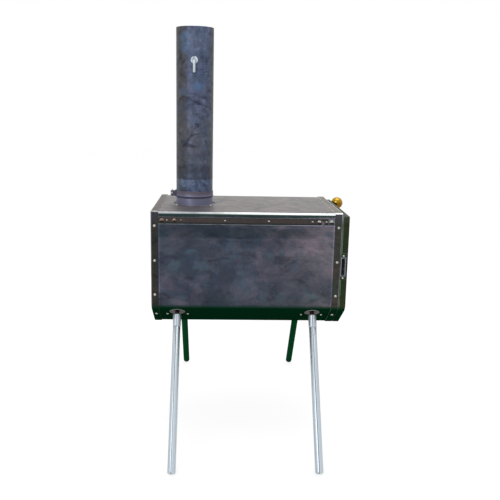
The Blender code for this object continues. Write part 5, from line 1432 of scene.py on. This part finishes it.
class STOVE_OT_door(bpy.types.Operator):
    """Build the door with its heat shield, moving hinge leaves, draft shutter and fasteners"""
    bl_idname = "stove.door"
    bl_label = "Door"

    def execute(self, context):
        smooth_copy("door_plate", "door_sheet", "door", "blued_steel", "heat_blued")
        smooth_copy("door_baffle", "heat_shield", "door", "cap_steel", "soot")
        for level in ("upper", "lower"):
            smooth_copy(f"door_hinge_{level}", f"moving_leaf_{level}", "door", "cap_steel", "cap_scale")
        for number in range(1, 5):
            fastener_copy(f"baffle_spacer_{number}", f"shield_spacer_{number}", "door")
        for label in ("near", "far"):
            fastener_copy(f"draft_stud_{label}", f"shutter_stud_{label}", "door")
        for part in ("bolt", "nut", "washer"):
            fastener_copy(f"latch_{part}", f"pivot_{part}", "door")
        smooth_copy("draft_shutter", "shutter", "draft", "cap_steel", "cap_scale")
        return {"FINISHED"}


class STOVE_OT_latch(bpy.types.Operator):
    """Build the latch lever and the brass ball on its handle"""
    bl_idname = "stove.latch"
    bl_label = "Latch"

    def execute(self, context):
        smooth_copy("latch_lever", "lever", "latch", "blued_steel", "cap_scale")
        radius = context.scene.stove_sizes.knob_radius
        mouth = math.asin((KNOB_BORE + 0.0012) / radius)
        lowest, floor = -radius * math.cos(mouth), KNOB_BORE_DEPTH - radius
        profile = [(0.0, floor), (KNOB_BORE, floor), (KNOB_BORE, lowest - 0.0002),
                   (KNOB_BORE + 0.0007, lowest - 0.0003), (KNOB_BORE + 0.0012, lowest)]
        profile += arc((0.0, 0.0), radius, mouth - math.pi / 2, math.pi / 2, 24)
        profile[-1] = (0.0, radius)
        rise = KNOB_CENTRE - LATCH_PIVOT
        along = Vector((0.0, rise.y, rise.z)).normalized()
        bm = turned(profile, KNOB_SIDES, frame_at(KNOB_CENTRE, along))
        placed("ball_knob", bm, "latch", "brass", ("polished_brass",), "latch_knob")
        return {"FINISHED"}


class STOVE_OT_legs(bpy.types.Operator):
    """Build the four legs with their washers, necks, ferrules and doubler plates"""
    bl_idname = "stove.legs"
    bl_label = "Legs"

    def execute(self, context):
        sizes = context.scene.stove_sizes
        start = GAP + SHEET + LEG_NECK
        places = []
        for end, x in LEG_ENDS:
            for label, side in BOTH_SIDES:
                name = f"{end}_{label}"
                matrix = self.leg_frame(side, x)
                self.washer(name, matrix, sizes.washer_radius)
                self.bolt(name, matrix, start + 0.020)
                self.ferrule(name, matrix, sizes, side, start)
                self.tube(name, matrix, sizes.tube_radius, side, start + FERRULE_LENGTH)
                carry(f"leg_plate_{name}", "cap_scale")
                y, z = band_point(LEG_SEAT + LEG_RIVET_DOWN, UNDER_CAP - GAP)
                for step in (-LEG_RIVET_SPREAD, LEG_RIVET_SPREAD):
                    places.append(((x + step, side * y, z), band_normal(side)))
        rivets("leg_rivets", places, SMALL_HEADS["leg"])
        return {"FINISHED"}

    def leg_frame(self, side, x):
        """Matrix on the outside of the shell's band, with Z along the leg towards its foot."""
        y, z = band_point(LEG_SEAT, UNDER_CAP)
        turn = Matrix.Rotation(-side * (math.pi - BAND_ANGLE), 4, "X")
        return Matrix.Translation((x, side * y, z)) @ turn

    def washer(self, name, matrix, radius):
        bore = LEG_BOLT + GAP
        ring = ((bore, GAP), (radius, GAP), (radius, GAP + SHEET * 0.6), (radius - 0.0008, GAP + SHEET),
                (bore + 0.0006, GAP + SHEET), (bore, GAP + SHEET * 0.7))
        bm = turned(ring, TUBE_SIDES, matrix, closed=True)
        back = matrix.inverted()
        # the rim is worn and also given a faint painted highlight
        mark_wear_and_highlight(bm, [face for face in bm.faces
                       if (back @ face.calc_center_median()).xy.length > radius - 0.0006])
        placed(f"washer_{name}", bm, "stove", "cap_steel", ("dark_steel",), f"leg_washer_{name}")

    def bolt(self, name, matrix, end):
        """Bolt from inside the firebox, which shows as the neck between washer and ferrule."""
        back, head = LEG_BOLT_BACK, LEG_BOLT_HEAD
        profile = ((0.0, back - 0.008), (head - 0.0005, back - 0.008), (head, back - 0.007), (head, back),
                   (LEG_BOLT, back), (LEG_BOLT, end), (0.0, end))
        bm = turned(profile, BOLT_SIDES, matrix)
        placed(f"bolt_{name}", bm, "stove", "cap_steel", ("dark_steel",), f"leg_bolt_{name}")

    def zinc_piece(self, name, bm, matrix, side, joint, body, node):
        """Places a piece of a leg, with its joint to the next one dark.

        The noted places are turned so that +Y is the side of the leg that faces away from the stove, and the
        painted shade falls on the side that faces inwards.
        """
        own = bm.verts.layers.float_vector["own_place"]
        for vert in bm.verts:
            vert[own] = Vector((vert[own].x, -side * vert[own].y, vert[own].z))
        back = matrix.inverted()
        for face in bm.faces:
            if joint[0] < (back @ face.calc_center_median()).z < joint[1]:
                face.material_index = 1
        placed(name, bm, body, "bright_steel", ("leg_zinc", "soot"), node)

    def ferrule(self, name, matrix, sizes, side, start):
        """Sleeve under the bolt's neck, with the spigot that the tube pushes on over."""
        end = start + FERRULE_LENGTH
        bore, radius = FERRULE_BORE, sizes.ferrule_radius
        spigot = sizes.tube_radius - LEG_WALL - GAP
        tip = end + SPIGOT_LENGTH
        profile = ((bore, start), (radius - 0.0005, start), (radius, start + 0.0005),
                   (radius, end - LEG_JOINT_EDGE), (radius - 0.0009, end), (spigot, end),
                   (spigot, tip - 0.002), (spigot - 0.002, tip), (0.0, tip), (0.0, start + 0.022),
                   (bore, start + 0.022))
        bm = turned(profile, TUBE_SIDES, matrix, closed=True)
        self.zinc_piece(f"ferrule_{name}", bm, matrix, side, (end - LEG_JOINT_EDGE, end + HAIR), "stove",
                        f"leg_ferrule_{name}")

    def tube(self, name, matrix, radius, side, top):
        """Tube down to its rounded foot, whose lowest point is on the ground."""
        seat = top + GAP
        inner, flat = radius - LEG_WALL, radius - FOOT_ROUND
        seat_height = STAND_HEIGHT + band_point(LEG_SEAT, UNDER_CAP)[1]
        foot = (seat_height - flat * math.sin(BAND_ANGLE) - FOOT_ROUND) / math.cos(BAND_ANGLE)
        profile = [(inner, seat), (radius - 0.0007, seat), (radius, seat + LEG_JOINT_EDGE), (radius, foot)]
        profile += arc((flat, foot), FOOT_ROUND, 0.0, math.pi / 2, 8)
        profile += [(0.0, foot + FOOT_ROUND), (0.0, foot - FOOT_FLOOR), (inner, foot - FOOT_FLOOR)]
        bm = turned(profile, TUBE_SIDES, matrix, closed=True)
        self.zinc_piece(f"tube_{name}", bm, matrix, side, (seat - HAIR, seat + LEG_JOINT_EDGE), f"leg_{name}",
                        f"leg_tube_{name}")


class STOVE_OT_stage(bpy.types.Operator):
    """Build the pale floor, the soft light and the camera at the photograph's angle"""
    bl_idname = "stove.stage"
    bl_label = "Floor, light and camera"

    def execute(self, context):
        self.floor(context)
        self.world(context)
        for row in LAMPS:
            self.lamp(context, *row)
        self.camera(context)
        context.scene.view_settings.view_transform = "Standard"
        return {"FINISHED"}

    def floor(self, context):
        bm = bmesh.new()
        bmesh.ops.create_circle(bm, cap_ends=True, segments=TUBE_SIDES, radius=FLOOR_RADIUS)
        mesh = bpy.data.meshes.new("floor")
        bm.to_mesh(mesh)
        bm.free()
        mesh.materials.append(finish("pale_floor"))
        floor = bpy.data.objects.new("floor", mesh)
        context.scene.collection.objects.link(floor)

    def world(self, context):
        """White where it is seen directly, and dimmer as a light."""
        world = bpy.data.worlds.new("studio")
        world.use_nodes = True
        tree = world.node_tree
        strength = spread(tree, seen_directly(tree), 0.0, 1.0, WORLD_LIGHT, 1.0)
        feed(tree, tree.nodes["Background"], {"Color": (1.0, 1.0, 1.0), "Strength": strength})
        context.scene.world = world

    def lamp(self, context, name, place, target, side, power):
        light = bpy.data.lights.new(name, "AREA")
        light.shape = "RECTANGLE"
        light.size = light.size_y = side
        light.energy = power
        lamp = bpy.data.objects.new(name, light)
        lamp.location = place
        lamp.rotation_euler = (Vector(target) - Vector(place)).to_track_quat("-Z", "Y").to_euler()
        context.scene.collection.objects.link(lamp)

    def camera(self, context):
        data = bpy.data.cameras.new("photo_camera")
        data.sensor_width = SENSOR
        data.lens = CAMERA_FOCAL * SENSOR / IMAGE
        data.shift_x = (IMAGE / 2 - CAMERA_MIDDLE[0]) / IMAGE
        data.shift_y = (CAMERA_MIDDLE[1] - IMAGE / 2) / IMAGE
        data.clip_end = 100.0
        yaw, pitch = CAMERA_YAW, CAMERA_PITCH
        ahead = Vector((math.sin(yaw) * math.cos(pitch), math.cos(yaw) * math.cos(pitch), -math.sin(pitch)))
        right = Vector((math.cos(yaw), -math.sin(yaw), 0.0))
        down = ahead.cross(right)
        level, tilt = math.cos(CAMERA_ROLL), math.sin(CAMERA_ROLL)
        right, down = level * right + tilt * down, -tilt * right + level * down
        turn = Matrix((right, -down, -ahead)).transposed()
        camera = bpy.data.objects.new("photo_camera", data)
        camera.matrix_world = Matrix.Translation(CAMERA_PLACE) @ turn.to_4x4()
        context.scene.collection.objects.link(camera)
        context.scene.camera = camera


class STOVE_PT_panel(bpy.types.Panel):
    """Lists the stove's pieces in the sidebar"""
    bl_idname = "STOVE_PT_panel"
    bl_label = "Portable wood stove"
    bl_space_type = "VIEW_3D"
    bl_region_type = "UI"
    bl_category = "Stove"

    def draw(self, context):
        for operator in OPERATORS:
            self.layout.operator(operator.bl_idname)
        for group in (context.scene.stove_sizes, context.scene.stove_colours):
            box = self.layout.box()
            for name in group.__annotations__:
                box.prop(group, name)


OPERATORS = (STOVE_OT_firebox, STOVE_OT_end_caps, STOVE_OT_door_frame, STOVE_OT_rails, STOVE_OT_flue,
             STOVE_OT_damper, STOVE_OT_door, STOVE_OT_latch, STOVE_OT_legs, STOVE_OT_stage)
CLASSES = (StoveSizes, StoveColours) + OPERATORS + (STOVE_PT_panel,)


def register():
    for item in CLASSES:
        bpy.utils.register_class(item)
    bpy.types.Scene.stove_sizes = PointerProperty(type=StoveSizes)
    bpy.types.Scene.stove_colours = PointerProperty(type=StoveColours)


def unregister():
    del bpy.types.Scene.stove_colours
    del bpy.types.Scene.stove_sizes
    for item in reversed(CLASSES):
        bpy.utils.unregister_class(item)


def main():
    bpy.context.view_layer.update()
    register()
    bpy.ops.stove.firebox()
    bpy.ops.stove.end_caps()
    bpy.ops.stove.door_frame()
    bpy.ops.stove.rails()
    bpy.ops.stove.flue()
    bpy.ops.stove.damper()
    bpy.ops.stove.door()
    bpy.ops.stove.latch()
    bpy.ops.stove.legs()
    bpy.ops.stove.stage()


if __name__ == "__main__":
    main()
